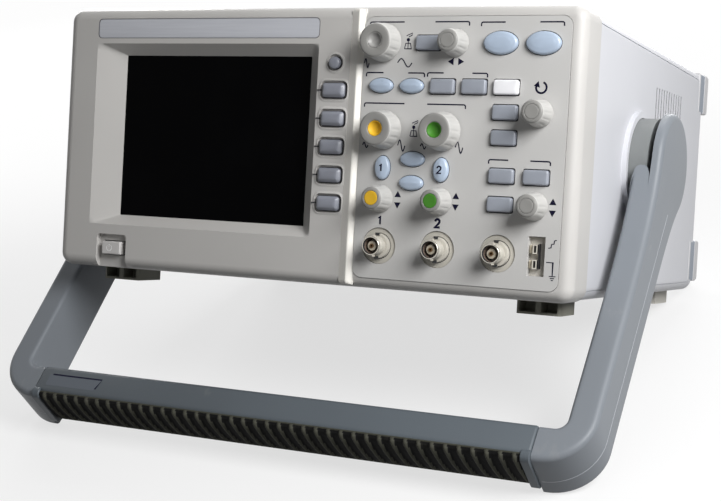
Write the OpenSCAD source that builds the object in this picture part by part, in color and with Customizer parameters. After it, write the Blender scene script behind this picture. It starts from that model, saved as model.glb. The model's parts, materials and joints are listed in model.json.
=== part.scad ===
// Bench oscilloscope standing tilted back on its carrying handle.
// The pieces are drawn level: x to the viewer's right, y from the front plane to the back,
// z up from the bottom of the bezel. standing() then tips them onto the handle and the rear feet.

/* [Case] */
// Width of the front bezel
case_w = 306; // [306:1:370]
// Height of the front bezel
case_h = 145; // [145:1:180]
// Front plane to the back face of the rear panel
case_d = 247; // [205:1:300]
// Depth of the bezel
bezel_d = 24; // [22:1:32]
// Thickness of the bezel's front wall
bezel_front_t = 3; // [2.6:0.1:4]
// Wall of the case shells
wall = 2.6; // [2:0.1:3.4]
// Corner radius of the case, seen from the front
corner_r = 7; // [5:0.5:9]
// Radius of the bezel's front edges
edge_r = 6; // [4:0.5:7]
// Step from the bezel down to the case tube
tube_step = 0.6; // [0.3:0.1:1.5]
// How much lower the roof is at the back
roof_fall = 7; // [0:0.5:12]
// Thickness of the rear panel
rear_t = 3; // [2:0.5:5]

/* [Screen] */
// Width of the glass that shows
screen_w = 117.4; // [97.8:0.2:121]
// Height of the glass that shows
screen_h = 89.8; // [75:0.2:94]
// Depth of the glass behind the front plane
screen_depth = 7; // [6:0.5:8.5]
// Case edge to the left end of the screen recess
screen_margin = 20.7; // [12:0.1:24]
// Bottom of the screen recess above the case bottom
screen_sill = 24.2; // [21:0.1:30]
// Slope of the recess, left side
flare_left = 16; // [4:0.2:18]
// Slope of the recess, right side
flare_right = 7.4; // [4:0.2:9]
// Slope of the recess, top
flare_top = 6; // [3:0.2:9]
// Slope of the recess, bottom
flare_bottom = 5.6; // [3:0.2:9]

/* [Control panel] */
// Width of the control panel
panel_w = 111; // [110:0.5:116]
// Case edge to the panel's right end
panel_margin = 7; // [6.5:0.1:9]
// Bottom of the panel above the case bottom
panel_sill = 5.5; // [4.5:0.1:7]
// Top of the panel below the case top
panel_top_gap = 5.6; // [4.5:0.1:40]
// Thickness of the panel
panel_t = 2; // [1.8:0.1:2.6]
// How far the panel stands proud of the bezel
panel_proud = 0.4; // [0:0.1:0.8]
// Gap round the panel in its pocket
panel_gap = 0.25; // [0.1:0.05:0.5]

/* [Buttons] */
// Width of the grey keys
key_w = 13.6; // [11.4:0.1:14.4]
// Height of the grey keys
key_h = 7.9; // [6.6:0.1:9.5]
// Width of the small oval buttons
oval_w = 13.4; // [11.2:0.1:14.4]
// Height of the small oval buttons
oval_h = 7.8; // [6.5:0.1:9.4]
// Width of the run and single buttons
run_w = 18.2; // [15.2:0.1:19]
// Height of the run and single buttons
run_h = 11.8; // [9.8:0.1:14]
// Width of the channel buttons
channel_w = 8.6; // [7.2:0.1:10.4]
// Height of the channel buttons
channel_h = 12.5; // [10.4:0.1:15]
// How far a button stands out
key_proud = 2.6; // [2:0.1:3.2]
// Travel of a button
key_travel = 1; // [0.6:0.1:1.2]
// Travel of the power button
power_travel = 1.8; // [1:0.1:2.2]
// Gap round a button in its hole
key_gap = 0.3; // [0.2:0.05:0.5]
// Spacing of the softkeys
softkey_pitch = 14.7; // [12.6:0.1:15.2]
// Radius of the round menu button
menu_r = 3.3; // [2.8:0.1:4]

/* [Knobs] */
// Base radius of the scale knobs
big_base_r = 9.9; // [8.3:0.1:11.9]
// Face radius of the scale knobs
big_face_r = 8.2; // [6:0.1:9.8]
// Base radius of the small knobs
small_base_r = 7; // [5.9:0.1:8.4]
// Face radius of the small knobs
small_face_r = 5.3; // [4.4:0.1:6.4]
// Height of every knob above the panel
knob_h = 13; // [10.8:0.1:15.6]
// Travel of a scale knob when it is pressed
knob_push = 0.8; // [0.4:0.1:1.2]
// Radius of the knob shafts
shaft_r = 3; // [2.5:0.1:3.6]
// Running clearance of a shaft
shaft_clear = 0.05; // [0.02:0.01:0.1]

/* [Handle] */
// Gap from the side of the case to an arm
handle_gap = 5.5; // [5:0.5:9]
// Pivot behind the front plane
pivot_y = 104.5; // [87:0.5:125]
// Pivot above the case bottom
pivot_z = 72.5; // [66:0.5:80]
// Lean of the arms forward from straight down
arm_angle = 39; // [30:1:45]
// Thickness of an arm, across the case
arm_w = 15; // [12:0.5:15]
// Depth of an arm, seen from the side
arm_deep = 35; // [29:0.5:40]
// How far the arm's front edge lies in front of the pivot
arm_lead = 11; // [8:0.5:14]
// Pivot to the outer face of the handle's corners
arm_reach = 195; // [190:1:240]
// Radius of the round arm heads
head_r = 27.5; // [26.8:0.1:30]
// Thickness of the arm heads outside the hubs
head_t = 5.5; // [4:0.5:7]
// Radius of the handle's outer corners
handle_corner_r = 26; // [20:1:30]
// Radius of the handle's inner corners
handle_inner_r = 9; // [5:1:14]
// Length of the arm ends at the crossbar
arm_end = 27.5; // [26:0.5:40]
// Height of the crossbar, along the arms
bar_h = 19; // [16:0.5:23]
// Depth of the crossbar, front to back
bar_deep = 25; // [21:0.5:30]
// How far the crossbar's front lies in front of the pivot
bar_lead = 8; // [6:0.5:11]
// Thickness of the grip
grip_t = 6.5; // [5.5:0.5:8]
// Number of ribs on the grip
grip_ribs = 40; // [20:1:48]
// Radius of the hub drums
drum_r = 25.5; // [21:0.1:26]
// Radius of the pivot pins
pin_r = 6; // [5:0.1:8]

/* [Feet and bumpers] */
// Width of a foot
foot_w = 24; // [20:0.5:29]
// Length of a foot
foot_l = 28; // [24:0.5:34]
// Height of a foot under the case tube
foot_h = 8.6; // [7.2:0.1:10]
// Side of the case to the middle of a foot
foot_inset = 25.5; // [21:0.5:31]
// Front end of the front feet
foot_front_y = 27; // [26:0.5:33]
// Rear panel to the back end of the rear feet
foot_rear_gap = 7; // [5:0.5:12]
// Height of a rear bumper
bumper_h = 24; // [20:0.5:29]
// How far the bumpers reach behind the rear panel
bumper_d = 28; // [24:0.5:34]
// Thickness of a bumper
bumper_w = 14; // [11:0.5:17]

/* [Connectors] */
// Outer radius of a coaxial socket's barrel
coax_r = 4.8; // [4.8:0.1:5.2]
// How far a coaxial socket stands out
coax_proud = 10; // [8:0.5:12]
// Radius of the round recess at a coaxial socket
coax_recess_r = 9.4; // [8:0.1:11]
// Width of the mains inlet's cavity
inlet_w = 24.4; // [24.4:0.1:26]
// Height of the mains inlet's cavity
inlet_h = 16.4; // [16.4:0.1:18]

/* [Hidden] */
$fn = 64;
half_w = case_w / 2;
tube_half = half_w - tube_step;
tube_z0 = tube_step;
tube_front_z1 = case_h - tube_step;
tube_rear_z1 = tube_front_z1 - roof_fall;
tube_y1 = case_d - rear_t;
over = 1;

// Screen recess and glass
recess_x0 = -half_w + screen_margin;
glass_x0 = recess_x0 + flare_left;
glass_x1 = glass_x0 + screen_w;
recess_x1 = glass_x1 + flare_right;
glass_z0 = screen_sill + flare_bottom;
glass_z1 = glass_z0 + screen_h;
recess_z1 = glass_z1 + flare_top;
frame_rim = 1;
window_margin = 3;
window_t = 1.5;
lcd_gap = 0.3;
lcd_t = 8.2;
lcd_margin = 7.4;
lcd_sink = 1;
name_h = 11;
name_gap = 2.8;
name_sink = 0.5;
name_r = 2.5;

// Control panel
panel_x1 = half_w - panel_margin;
panel_x0 = panel_x1 - panel_w;
panel_z1 = case_h - panel_top_gap;
panel_r = 5;
panel_ledge = 3;
panel_back = panel_t - panel_proud;
ridge_r = 2.1;
ridge_proud = 1.7;
ridge_gap = 3.2;
ridge_x = panel_x0 - ridge_gap;
ridge_end = 4;

// Columns, from the panel's left end
ch1_x = panel_x0 + 14.2;
ch2_x = panel_x0 + 46.6;
ext_x = panel_x0 + 78.9;
key_x = panel_x0 + 79;
right_x = panel_x0 + 97;
sweep_x = panel_x0 + 11.5;
sweep_position_x = panel_x0 + 51;
delayed_x = panel_x0 + 36;
run_x = panel_x0 + 74.8;
row_x = panel_x0 + 11;
row_pitch = 17;
math_x = panel_x0 + 30.7;
softkey_x = panel_x0 - 16.4;

// Rows, above the case bottom
top_row = 126;
measure_row = 104.2;
save_row = 91.8;
scale_row = 81.6;
utility_row = 79.3;
math_row = 67.2;
channel_row = 62.3;
trigger_row = 60.5;
ref_row = 55.1;
position_row = 46.5;
coax_row = 22.3;
softkey_row = 101.4;
menu_row = 115.6;

// Keys and the shallow surrounds of the softkeys
key_r = 0.9;
softkey_r = 1.4;
surround_w = 1;
surround_r = 2.2;
surround_sink = 0.8;
menu_surround_w = 1.3;

// Button stems, the board behind them and the encoders on it
flange = 1;
flange_t = 1;
board_y = 9.6;
board_t = 1.6;
stem_end = board_y - key_travel - key_gap;
board_low_gap = 3;
board_high_gap = 2;
board_side_gap = 0.8;
board_hole_gap = 0.5;
board_post_r = 2.4;
board_left_post_x = panel_x0 - 8;
board_left_post_z = 26;
board_right_post_z = 20;
board_post_top_gap = 16;
encoder_w = 12;
encoder_t = 5.2;
shaft_end = board_y - knob_push - key_gap;
shaft_hole_gap = 0.6;
shaft_in_knob = 9;
shaft_tip_gap = 0.3;
push_gap = 0.4;
probe_x = panel_x0 + 99.2;
probe_z = 22.2;
probe_w = 8.8;
probe_h = 19.4;
probe_floor = 7;
probe_cup_t = 1;
loop_z = [-3.9, 3.5];
loop_shift = 0.6;
loop_w = 6;
loop_h = 4.6;
loop_t = 0.8;
loop_proud = 1.2;
loop_back_t = 1;

// Knobs
knob_skirt = 2.4;
knob_rim = 1.2;
knob_swell = 0.4;
dish_r = 5.2;
dish_lift = 3.2;

// Coaxial sockets, measured out of the front
coax_gap = 0.2;
coax_seat = -0.8;
coax_body_r = 6;
coax_bore_r = 4.05;
coax_back = 18;
coax_floor = 4;
coax_ring_step = 2;
coax_ring_h = 1.2;
coax_lug_r = 1;
coax_lug_back = 4.6;
coax_lug_tip = 5.5;
insulator_r = 2.4;
insulator_foot = 1;
insulator_drop = 2;
contact_r = 1.1;
contact_gap = 0.8;
contact_tail = 3;
contact_drop = 1.4;
contact_hole_r = 0.6;
contact_hole_l = 6;

// Power button in its recess
power_x = -half_w + 36.3;
power_z = 11;
power_w = 14.2;
power_h = 7.8;
power_recess_half = 9.9;
power_recess_h = 18.7;
power_recess_r = 2;
power_floor = 4;
power_back = 6.5;
power_plunger = 4.4;
power_stem = power_back + key_gap + flange_t + power_travel + power_plunger;
power_proud = 0.4;

// Handle
arm_x0 = half_w + handle_gap;
arm_x1 = arm_x0 + arm_w;
bar_half = arm_x1 - arm_end;
head_x0 = arm_x1 - head_t;
bar_top = arm_reach - bar_h;
heel_r = 8;
heel_y = arm_deep - arm_lead - heel_r;
heel_z = -(arm_reach - heel_r);
head_gap = 3;
drum_gap = 0.8;
ring_w = 3.5;
ring_gap = 0.3;
ring_h = 2.6;
boss_r = 10;
boss_gap = 0.2;
pin_clear = 0.05;
pin_end = tube_half - wall - 1;
tongue_z = -15;
tongue_foot_z = -46;
tongue_neck_z = -27;
tongue_foot_in = 0.2;
tongue_neck_in = 4.5;
tongue_tip_in = 5.5;
tongue_neck_out = 2.8;
tongue_tip_out = 3.4;
grip_out = 1.5;
grip_r = 4;
rib_h = 2;
rib_w = 2.8;
rib_slant = 6;
rib_bite = 0.1;
bar_r = 3;

// Feet and bumpers
foot_x = half_w - foot_inset;
foot_z = tube_z0 - foot_h;
foot_back_y = tube_y1 - foot_rear_gap + rear_t;
foot_r = 2;
front_foot_cut = 4;
pocket_floor = 1.2;
pocket_w = 8.8;
pocket_h = 5.4;
pocket_d = 10;
pocket_x = 5.8;
bumper_r = 4;
bumper_side_gap = 2.4;
bumper_roof_gap = 1.4;
bumper_x1 = tube_half - bumper_side_gap;
bumper_low_z = 7;
bumper_high_z = tube_rear_z1 - bumper_h - bumper_roof_gap;

// Tilt of the standing scope: the floor touches the heels of the handle and the rear feet
function tip_y(y, z) = pivot_y + y * cos(arm_angle) + z * sin(arm_angle);
function tip_z(y, z) = pivot_z - y * sin(arm_angle) + z * cos(arm_angle);
heel_dy = foot_back_y - tip_y(heel_y, heel_z);
heel_dz = foot_z - tip_z(heel_y, heel_z);
stand_tilt = atan2(heel_dz, heel_dy) + asin(heel_r / sqrt(heel_dy * heel_dy + heel_dz * heel_dz));
function stand_y_of(y, z) = y * cos(stand_tilt) + z * sin(stand_tilt);
grip_nose_y = -bar_lead - grip_out + grip_r;
grip_nose_z = -(arm_reach + grip_out - grip_r);
front_most = stand_y_of(tip_y(grip_nose_y, grip_nose_z), tip_z(grip_nose_y, grip_nose_z)) - grip_r;
rear_most = stand_y_of(case_d + bumper_d - bumper_r, bumper_high_z + bumper_h - bumper_r) + bumper_r;
stand_y = -(front_most + rear_most) / 2;
stand_z = foot_back_y * sin(stand_tilt) - foot_z * cos(stand_tilt);

// Inside
main_board_z = 12;
main_board_t = 1.6;
main_board_x0 = -60;
main_board_x1 = tube_half - wall - 9;
main_board_y0 = 45;
main_board_y1 = tube_y1 - 30;
supply_z = 8;
supply_w = 68;
supply_x1 = main_board_x0 - 14;
supply_y0 = 55;
supply_l = 125;
post_r = 4;
post_inset = 9;
amp_w = 28;
amp_l = 50;
amp_h = 14;
amp_gap = 4;
chip_x = 20;
chip_y = 70;
chip_w = 30;
chip_h = 5;
transformer_x = 16;
transformer_y = 46;
transformer_w = 34;
transformer_h = 32;
heat_sink_x = 3;
heat_sink_y = 15;
heat_sink_l = 95;
heat_sink_t = 3;
heat_sink_h = 38;
big_can_x = 40;
big_can_y = [16, 34];
big_can_r = 7;
big_can_h = 30;
small_can_x = 24;
small_can_y = [94, 110];
small_can_r = 5;
small_can_h = 22;
fan_w = 60;
fan_t = 15;
fan_x = half_w - 83;
fan_z = case_h / 2 - 2;
fan_bore_r = 28.5;
fan_hub_r = 13;
fan_pin_r = 1.5;
fan_wall = 2.4;
fan_strut_w = 4;
fan_strut_bite = 2;
fan_pin_y = 3;
fan_pin_bite = 1;
fan_blades = 7;
fan_blade_w = 16;
fan_blade_t = 1.4;
fan_blade_angle = 40;
fan_blade_root = 2;
fan_tip_gap = 1;
fan_run_gap = 0.6;
fan_hub_gap = 1;
fan_seat_gap = 0.3;
fan_y1 = tube_y1 - fan_seat_gap;
fan_y0 = fan_y1 - fan_t;
inlet_x = -half_w + 43;
inlet_z = 42;
inlet_d = 16;
inlet_pin_l = 7;
inlet_pin_w = 2;
inlet_pin_h = 4;
inlet_pin_dx = 7;
inlet_pin_dz = 2;
inlet_pin_root = 1;
inlet_r = 2;
inlet_wall = 1.6;
inlet_flange = 3.4;
inlet_flange_t = 2.4;
screw_x = tube_half - wall - 5;
screw_low_z = 45;
screw_high_z = 98;
screw_r = 1.45;
screw_hole_r = 1.7;
screw_head_r = 3.2;
screw_head_t = 2;
screw_l = 12;
screw_boss_r = 5.3;
screw_boss_l = 18;
screw_hole_floor = 3;
cross_l = 3.6;
cross_w = 0.8;
cross_t = 1.6;
vent_count = 11;
vent_pitch = 5.65;
vent_w = 2.6;
vent_gap = 5.1;
vent_y = pivot_y + head_r + vent_gap;
vent_z0 = 45;
vent_z1 = 118;
grille_slots = 9;
grille_slot_h = 3.4;
grille_slot_r = 1.6;
grille_margin = 2;
grille_end = 1;
line_w = 0.5;
line_deep = 0.8;
line_drop = 5.5;
line_lift = 5;

// Colours that several pieces share
knob_grey = [0.66, 0.66, 0.65];
key_grey = [0.55, 0.56, 0.60];
softkey_grey = [0.42, 0.43, 0.47];
oval_blue = [0.66, 0.73, 0.78];
auto_white = [0.93, 0.93, 0.94];

// Places of the knobs, the coaxial sockets and the buttons on the control panel
big_knobs = [[sweep_x, top_row], [ch1_x, scale_row], [ch2_x, scale_row]];
small_knobs = [
  [sweep_position_x, top_row], [right_x, save_row], [ch1_x, position_row],
  [ch2_x, position_row], [right_x, position_row]
];
coax_x = [ch1_x, ch2_x, ext_x];
key_places = [
  [delayed_x, top_row], [row_x + 2 * row_pitch, measure_row], [row_x + 3 * row_pitch, measure_row],
  [row_x + 4 * row_pitch, measure_row], [key_x, save_row], [key_x, utility_row],
  [key_x, trigger_row], [right_x, trigger_row], [key_x, position_row]
];
oval_places = [
  [row_x, measure_row], [row_x + row_pitch, measure_row], [math_x, math_row], [math_x, ref_row]
];
run_places = [[run_x, top_row], [right_x, top_row]];
channel_places = [[ch1_x, channel_row], [ch2_x, channel_row]];

// Frames and extrusions
module standing() translate([0, stand_y, stand_z]) rotate([-stand_tilt, 0, 0]) children();

module along_x(x0, x1) translate([x0, 0, 0]) rotate([90, 0, 90]) linear_extrude(x1 - x0) children();

module along_y(y0, y1) translate([0, y1, 0]) rotate([90, 0, 0]) linear_extrude(y1 - y0) children();

module along_z(z0, z1) translate([0, 0, z0]) linear_extrude(z1 - z0) children();

// Local z points out of the front, local y up
module on_panel(x, z) translate([x, 0, z]) rotate([90, 0, 0]) children();

// Local z points out of the back, local y down
module on_rear(x, z) translate([x, 0, z]) rotate([-90, 0, 0]) children();

// The handle hangs along local -z from its pivot, with local y to its back
module on_handle() translate([0, pivot_y, pivot_z]) rotate([-arm_angle, 0, 0]) children();

module both_sides() {
  children();
  mirror([1, 0, 0]) children();
}

module corner_box(x0, y0, x1, y1) translate([x0, y0]) square([x1 - x0, y1 - y0]);

// Rectangle between two corners, with round corners
module round_box(x0, y0, x1, y1, r) {
  corner_box(x0 + r, y0, x1 - r, y1);
  corner_box(x0, y0 + r, x1, y1 - r);
  for (x = [x0 + r, x1 - r], y = [y0 + r, y1 - r]) translate([x, y]) circle(r);
}

module centred_box(w, h, r) round_box(-w / 2, -h / 2, w / 2, h / 2, r);

module oval(w, h) polygon([for (a = [0 : 10 : 350]) [w / 2 * cos(a), h / 2 * sin(a)]]);

// Front bezel: outline, hollow, screen frame, softkey strip and panel pocket
// What a quarter round takes off the corner at the origin
module outside_round(r) difference() {
  corner_box(-over, -over, r, r);
  translate([r, r]) circle(r);
}

// The child at the upper right corner of the bezel, and mirrored at the other three
module bezel_corners() {
  for (across = [0, 1], down = [0, 1])
    translate([0, 0, case_h / 2]) mirror([across, 0, 0]) mirror([0, 0, down])
      translate([half_w - corner_r, 0, case_h / 2 - corner_r]) children();
}

module bezel_outline() {
  difference() {
    along_y(0, bezel_d) round_box(-half_w, 0, half_w, case_h, corner_r);
    along_x(corner_r - half_w, half_w - corner_r) {
      outside_round(edge_r);
      translate([0, case_h]) mirror([0, 1]) outside_round(edge_r);
    }
    along_z(corner_r, case_h - corner_r) {
      translate([-half_w, 0]) outside_round(edge_r);
      translate([half_w, 0]) mirror([1, 0]) outside_round(edge_r);
    }
    bezel_corners() rotate([-90, -90, 0]) rotate_extrude(angle = 90)
      translate([corner_r, 0]) mirror([1, 0]) outside_round(edge_r);
  }
}

module bezel_hollow() {
  along_y(bezel_front_t, bezel_d + over)
    round_box(-half_w + wall, wall, half_w - wall, case_h - wall, corner_r - wall);
}

module screen_flare() {
  run = screen_depth + over;
  grow = run / screen_depth;
  intersection() {
    along_z(screen_sill - over, recess_z1 + over) polygon([
      [recess_x0 - flare_left / screen_depth, -over], [recess_x1 + flare_right / screen_depth, -over],
      [recess_x1 - flare_right * grow, run], [recess_x0 + flare_left * grow, run]
    ]);
    along_x(recess_x0 - 2 * over, recess_x1 + 2 * over) polygon([
      [-over, screen_sill - flare_bottom / screen_depth], [run, screen_sill + flare_bottom * grow],
      [run, recess_z1 - flare_top * grow], [-over, recess_z1 + flare_top / screen_depth]
    ]);
  }
}

module softkey_shape() centred_box(key_w, key_h, softkey_r);

module softkey_places() for (i = [0 : 4]) on_panel(softkey_x, softkey_row - i * softkey_pitch) children();

module panel_outline(grow) {
  round_box(panel_x0 - grow, panel_sill - grow, panel_x1 + grow, panel_z1 + grow, panel_r + grow);
}

module board_posts(x, low_z) {
  for (z = [low_z, case_h - board_post_top_gap])
    translate([x, bezel_front_t - over, z]) rotate([-90, 0, 0])
      cylinder(r = board_post_r, h = board_y - bezel_front_t + over);
}

module front_bezel() standing() color([0.62, 0.61, 0.60]) {
  difference() {
    union() {
      difference() {
        bezel_outline();
        bezel_hollow();
      }
      along_y(bezel_front_t - over, screen_depth)
        corner_box(recess_x0 - frame_rim, screen_sill - frame_rim,
                   recess_x1 + frame_rim, recess_z1 + frame_rim);
      along_y(bezel_front_t - over, power_back)
        corner_box(power_x - power_recess_half - wall, wall / 2,
                   power_x + power_recess_half + wall, power_recess_h + wall);
      translate([ridge_x, ridge_r - ridge_proud, 0]) {
        for (z = [ridge_end, case_h - ridge_end]) translate([0, 0, z]) sphere(ridge_r);
        translate([0, 0, ridge_end]) cylinder(r = ridge_r, h = case_h - 2 * ridge_end);
      }
      board_posts(board_left_post_x, board_left_post_z);
      board_posts(half_w - wall - board_post_r, board_right_post_z);
    }
    screen_flare();
    along_y(-over, name_sink)
      round_box(recess_x0, recess_z1 + name_gap, recess_x1, recess_z1 + name_gap + name_h, name_r);
    along_y(-over, panel_back) panel_outline(panel_gap);
    along_y(-over, bezel_front_t + over) panel_outline(-panel_ledge);
    softkey_places() {
      translate([0, 0, -surround_sink]) linear_extrude(surround_sink + over)
        centred_box(key_w + 2 * surround_w, key_h + 2 * surround_w, surround_r);
      translate([0, 0, -bezel_front_t - over]) linear_extrude(bezel_front_t + 2 * over)
        centred_box(key_w + 2 * key_gap, key_h + 2 * key_gap, softkey_r + key_gap);
    }
    on_panel(softkey_x, menu_row) {
      translate([0, 0, -surround_sink]) cylinder(r = menu_r + menu_surround_w, h = surround_sink + over);
      translate([0, 0, -bezel_front_t - over]) cylinder(r = menu_r + key_gap, h = bezel_front_t + 2 * over);
    }
    along_y(-over, power_floor)
      round_box(power_x - power_recess_half, -2 * power_recess_r,
                power_x + power_recess_half, power_recess_h, power_recess_r);
    along_y(0, power_back + over)
      corner_box(power_x - power_w / 2 - key_gap, power_z - power_h / 2 - key_gap,
                 power_x + power_w / 2 + key_gap, power_z + power_h / 2 + key_gap);
  }
}

// Control panel: holes for every button, knob shaft and socket, and the cup of the probe terminals
module control_panel() standing() color([0.74, 0.74, 0.73]) {
  deep = panel_t + 2 * over;
  difference() {
    union() {
      along_y(-panel_proud, panel_back) panel_outline(0);
      along_y(panel_back - over, probe_floor + probe_cup_t)
        corner_box(probe_x - probe_w / 2 - probe_cup_t, probe_z - probe_h / 2 - probe_cup_t,
                   probe_x + probe_w / 2 + probe_cup_t, probe_z + probe_h / 2 + probe_cup_t);
    }
    for (p = key_places) on_panel(p.x, p.y) translate([0, 0, -panel_back - over])
      linear_extrude(deep) centred_box(key_w + 2 * key_gap, key_h + 2 * key_gap, key_r + key_gap);
    for (p = oval_places) on_panel(p.x, p.y) translate([0, 0, -panel_back - over])
      linear_extrude(deep) oval(oval_w + 2 * key_gap, oval_h + 2 * key_gap);
    for (p = run_places) on_panel(p.x, p.y) translate([0, 0, -panel_back - over])
      linear_extrude(deep) oval(run_w + 2 * key_gap, run_h + 2 * key_gap);
    for (p = channel_places) on_panel(p.x, p.y) translate([0, 0, -panel_back - over])
      linear_extrude(deep) oval(channel_w + 2 * key_gap, channel_h + 2 * key_gap);
    for (p = concat(big_knobs, small_knobs)) on_panel(p.x, p.y) translate([0, 0, -panel_back - over])
      cylinder(r = shaft_r + shaft_hole_gap, h = deep);
    for (x = coax_x) on_panel(x, coax_row) {
      translate([0, 0, coax_seat]) cylinder(r = coax_recess_r, h = deep);
      translate([0, 0, -panel_back - over]) cylinder(r = coax_body_r + coax_gap, h = deep);
    }
    along_y(-over, probe_floor)
      corner_box(probe_x - probe_w / 2, probe_z - probe_h / 2, probe_x + probe_w / 2, probe_z + probe_h / 2);
  }
}

// Screen: the window seats on the back of the screen frame, the LCD module behind it
module display_window() standing() color([0.02, 0.02, 0.03]) {
  along_y(screen_depth, screen_depth + window_t)
    corner_box(glass_x0 - window_margin, glass_z0 - window_margin,
               glass_x1 + window_margin, glass_z1 + window_margin);
}

module lcd_module() standing() color([0.55, 0.56, 0.58]) {
  y0 = screen_depth + window_t + lcd_gap;
  difference() {
    along_y(y0, y0 + lcd_t)
      corner_box(glass_x0 - lcd_margin, glass_z0 - lcd_margin / 2,
                 glass_x1 + lcd_margin, glass_z1 + lcd_margin / 2);
    along_y(y0 - over, y0 + lcd_sink) corner_box(glass_x0, glass_z0, glass_x1, glass_z1);
  }
}

// Case tube: the roof falls towards the back; vents, hub rings, posts and screw bosses
module tube_form(inset, reach) {
  sides = tube_half - inset;
  run = tube_y1 - bezel_d;
  intersection() {
    along_y(bezel_d - reach, tube_y1 + reach)
      round_box(-sides, tube_z0 + inset, sides, 2 * case_h, corner_r - inset);
    translate([0, bezel_d, tube_front_z1]) rotate([-atan2(roof_fall, run), 0, 0])
      along_y(-bezel_d, run + 2 * bezel_d) round_box(-sides, -2 * case_h, sides, -inset, corner_r - inset);
  }
}

module floor_posts() {
  for (x = [main_board_x0 + post_inset, main_board_x1 - post_inset],
       y = [main_board_y0 + post_inset, main_board_y1 - post_inset])
    translate([x, y, tube_z0 + over]) cylinder(r = post_r, h = main_board_z - tube_z0 - over);
  for (x = [supply_x1 - supply_w + post_inset, supply_x1 - post_inset],
       y = [supply_y0 + post_inset, supply_y0 + supply_l - post_inset])
    translate([x, y, tube_z0 + over]) cylinder(r = post_r, h = supply_z - tube_z0 - over);
}

// Two thin shell lines along each side: one follows the roof, the other runs above the floor
module side_lines() {
  front_z = tube_front_z1 - line_drop;
  rear_z = tube_rear_z1 - line_drop;
  both_sides() along_x(tube_half - line_deep, tube_half + over) {
    polygon([
      [bezel_d - over, front_z], [tube_y1 + over, rear_z],
      [tube_y1 + over, rear_z + line_w], [bezel_d - over, front_z + line_w]
    ]);
    corner_box(bezel_d - over, tube_z0 + line_lift, tube_y1 + over, tube_z0 + line_lift + line_w);
  }
}

module cabinet() standing() color([0.86, 0.86, 0.87]) {
  difference() {
    union() {
      difference() {
        tube_form(0, 0);
        tube_form(wall, over);
      }
      floor_posts();
      both_sides() {
        translate([tube_half - wall / 2, pivot_y, pivot_z]) rotate([0, 90, 0])
          cylinder(r = drum_r + ring_gap + ring_w, h = wall / 2 + ring_h);
        for (z = [screw_low_z, screw_high_z]) translate([screw_x, tube_y1 - screw_boss_l, z])
          rotate([-90, 0, 0]) cylinder(r = screw_boss_r, h = screw_boss_l);
      }
    }
    both_sides() {
      translate([tube_half, pivot_y, pivot_z]) rotate([0, 90, 0])
        cylinder(r = drum_r + ring_gap, h = ring_h + over);
      translate([tube_half - 2 * wall, pivot_y, pivot_z]) rotate([0, 90, 0])
        cylinder(r = boss_r + boss_gap, h = 4 * wall);
      for (i = [0 : vent_count - 1])
        along_x(tube_half - wall - over, tube_half + over)
          corner_box(vent_y + i * vent_pitch, vent_z0, vent_y + i * vent_pitch + vent_w, vent_z1);
      for (z = [screw_low_z, screw_high_z])
        translate([screw_x, tube_y1 - screw_boss_l + screw_hole_floor, z]) rotate([-90, 0, 0])
          cylinder(r = screw_r, h = screw_boss_l);
    }
    side_lines();
  }
}

// Rear panel: fan grille, inlet hole and screw holes
module rear_panel() standing() color([0.80, 0.80, 0.81]) {
  slot_pitch = 2 * (fan_bore_r - grille_margin) / grille_slots;
  slot_half = grille_slot_h / 2;
  difference() {
    along_y(tube_y1, case_d) round_box(-tube_half, tube_z0, tube_half, tube_rear_z1, corner_r);
    for (i = [0 : grille_slots - 1]) {
      z = (i - (grille_slots - 1) / 2) * slot_pitch;
      half = sqrt(pow(fan_bore_r - grille_end, 2) - pow(abs(z) + slot_half, 2));
      along_y(tube_y1 - over, case_d + over)
        round_box(fan_x - half, fan_z + z - slot_half, fan_x + half, fan_z + z + slot_half, grille_slot_r);
    }
    along_y(tube_y1 - over, case_d + over)
      corner_box(inlet_x - inlet_w / 2 - inlet_wall - key_gap, inlet_z - inlet_h / 2 - inlet_wall - key_gap,
                 inlet_x + inlet_w / 2 + inlet_wall + key_gap, inlet_z + inlet_h / 2 + inlet_wall + key_gap);
    both_sides() for (z = [screw_low_z, screw_high_z])
      translate([screw_x, tube_y1 - over, z]) rotate([-90, 0, 0])
        cylinder(r = screw_hole_r, h = rear_t + 2 * over);
  }
}

module screws() standing() color([0.35, 0.35, 0.37]) both_sides() {
  for (z = [screw_low_z, screw_high_z]) on_rear(screw_x, z) {
    difference() {
      translate([0, 0, case_d]) cylinder(r = screw_head_r, h = screw_head_t);
      for (a = [0, 90]) rotate(a) translate([0, 0, case_d + screw_head_t])
        cube([cross_l, cross_w, cross_t], center = true);
    }
    translate([0, 0, case_d - screw_l]) cylinder(r = screw_r, h = screw_l);
  }
}

// Key board behind the bezel, with holes for the coaxial sockets and the probe cup
module key_board() standing() color([0.10, 0.36, 0.18]) {
  difference() {
    along_y(board_y, board_y + board_t)
      corner_box(softkey_x - key_w / 2, wall + board_low_gap,
                 half_w - wall - board_side_gap, case_h - wall - board_high_gap);
    for (x = coax_x) on_panel(x, coax_row) translate([0, 0, -board_y - board_t - over])
      cylinder(r = coax_body_r + board_hole_gap, h = board_t + 2 * over);
  }
}

module encoder_bodies() standing() color([0.25, 0.25, 0.27]) {
  for (p = concat(big_knobs, small_knobs)) on_panel(p.x, p.y) difference() {
    translate([0, 0, -board_y]) linear_extrude(encoder_t) square(encoder_w, center = true);
    translate([0, 0, -board_y - over]) cylinder(r = shaft_r + shaft_clear, h = encoder_t + 2 * over);
  }
}

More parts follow.
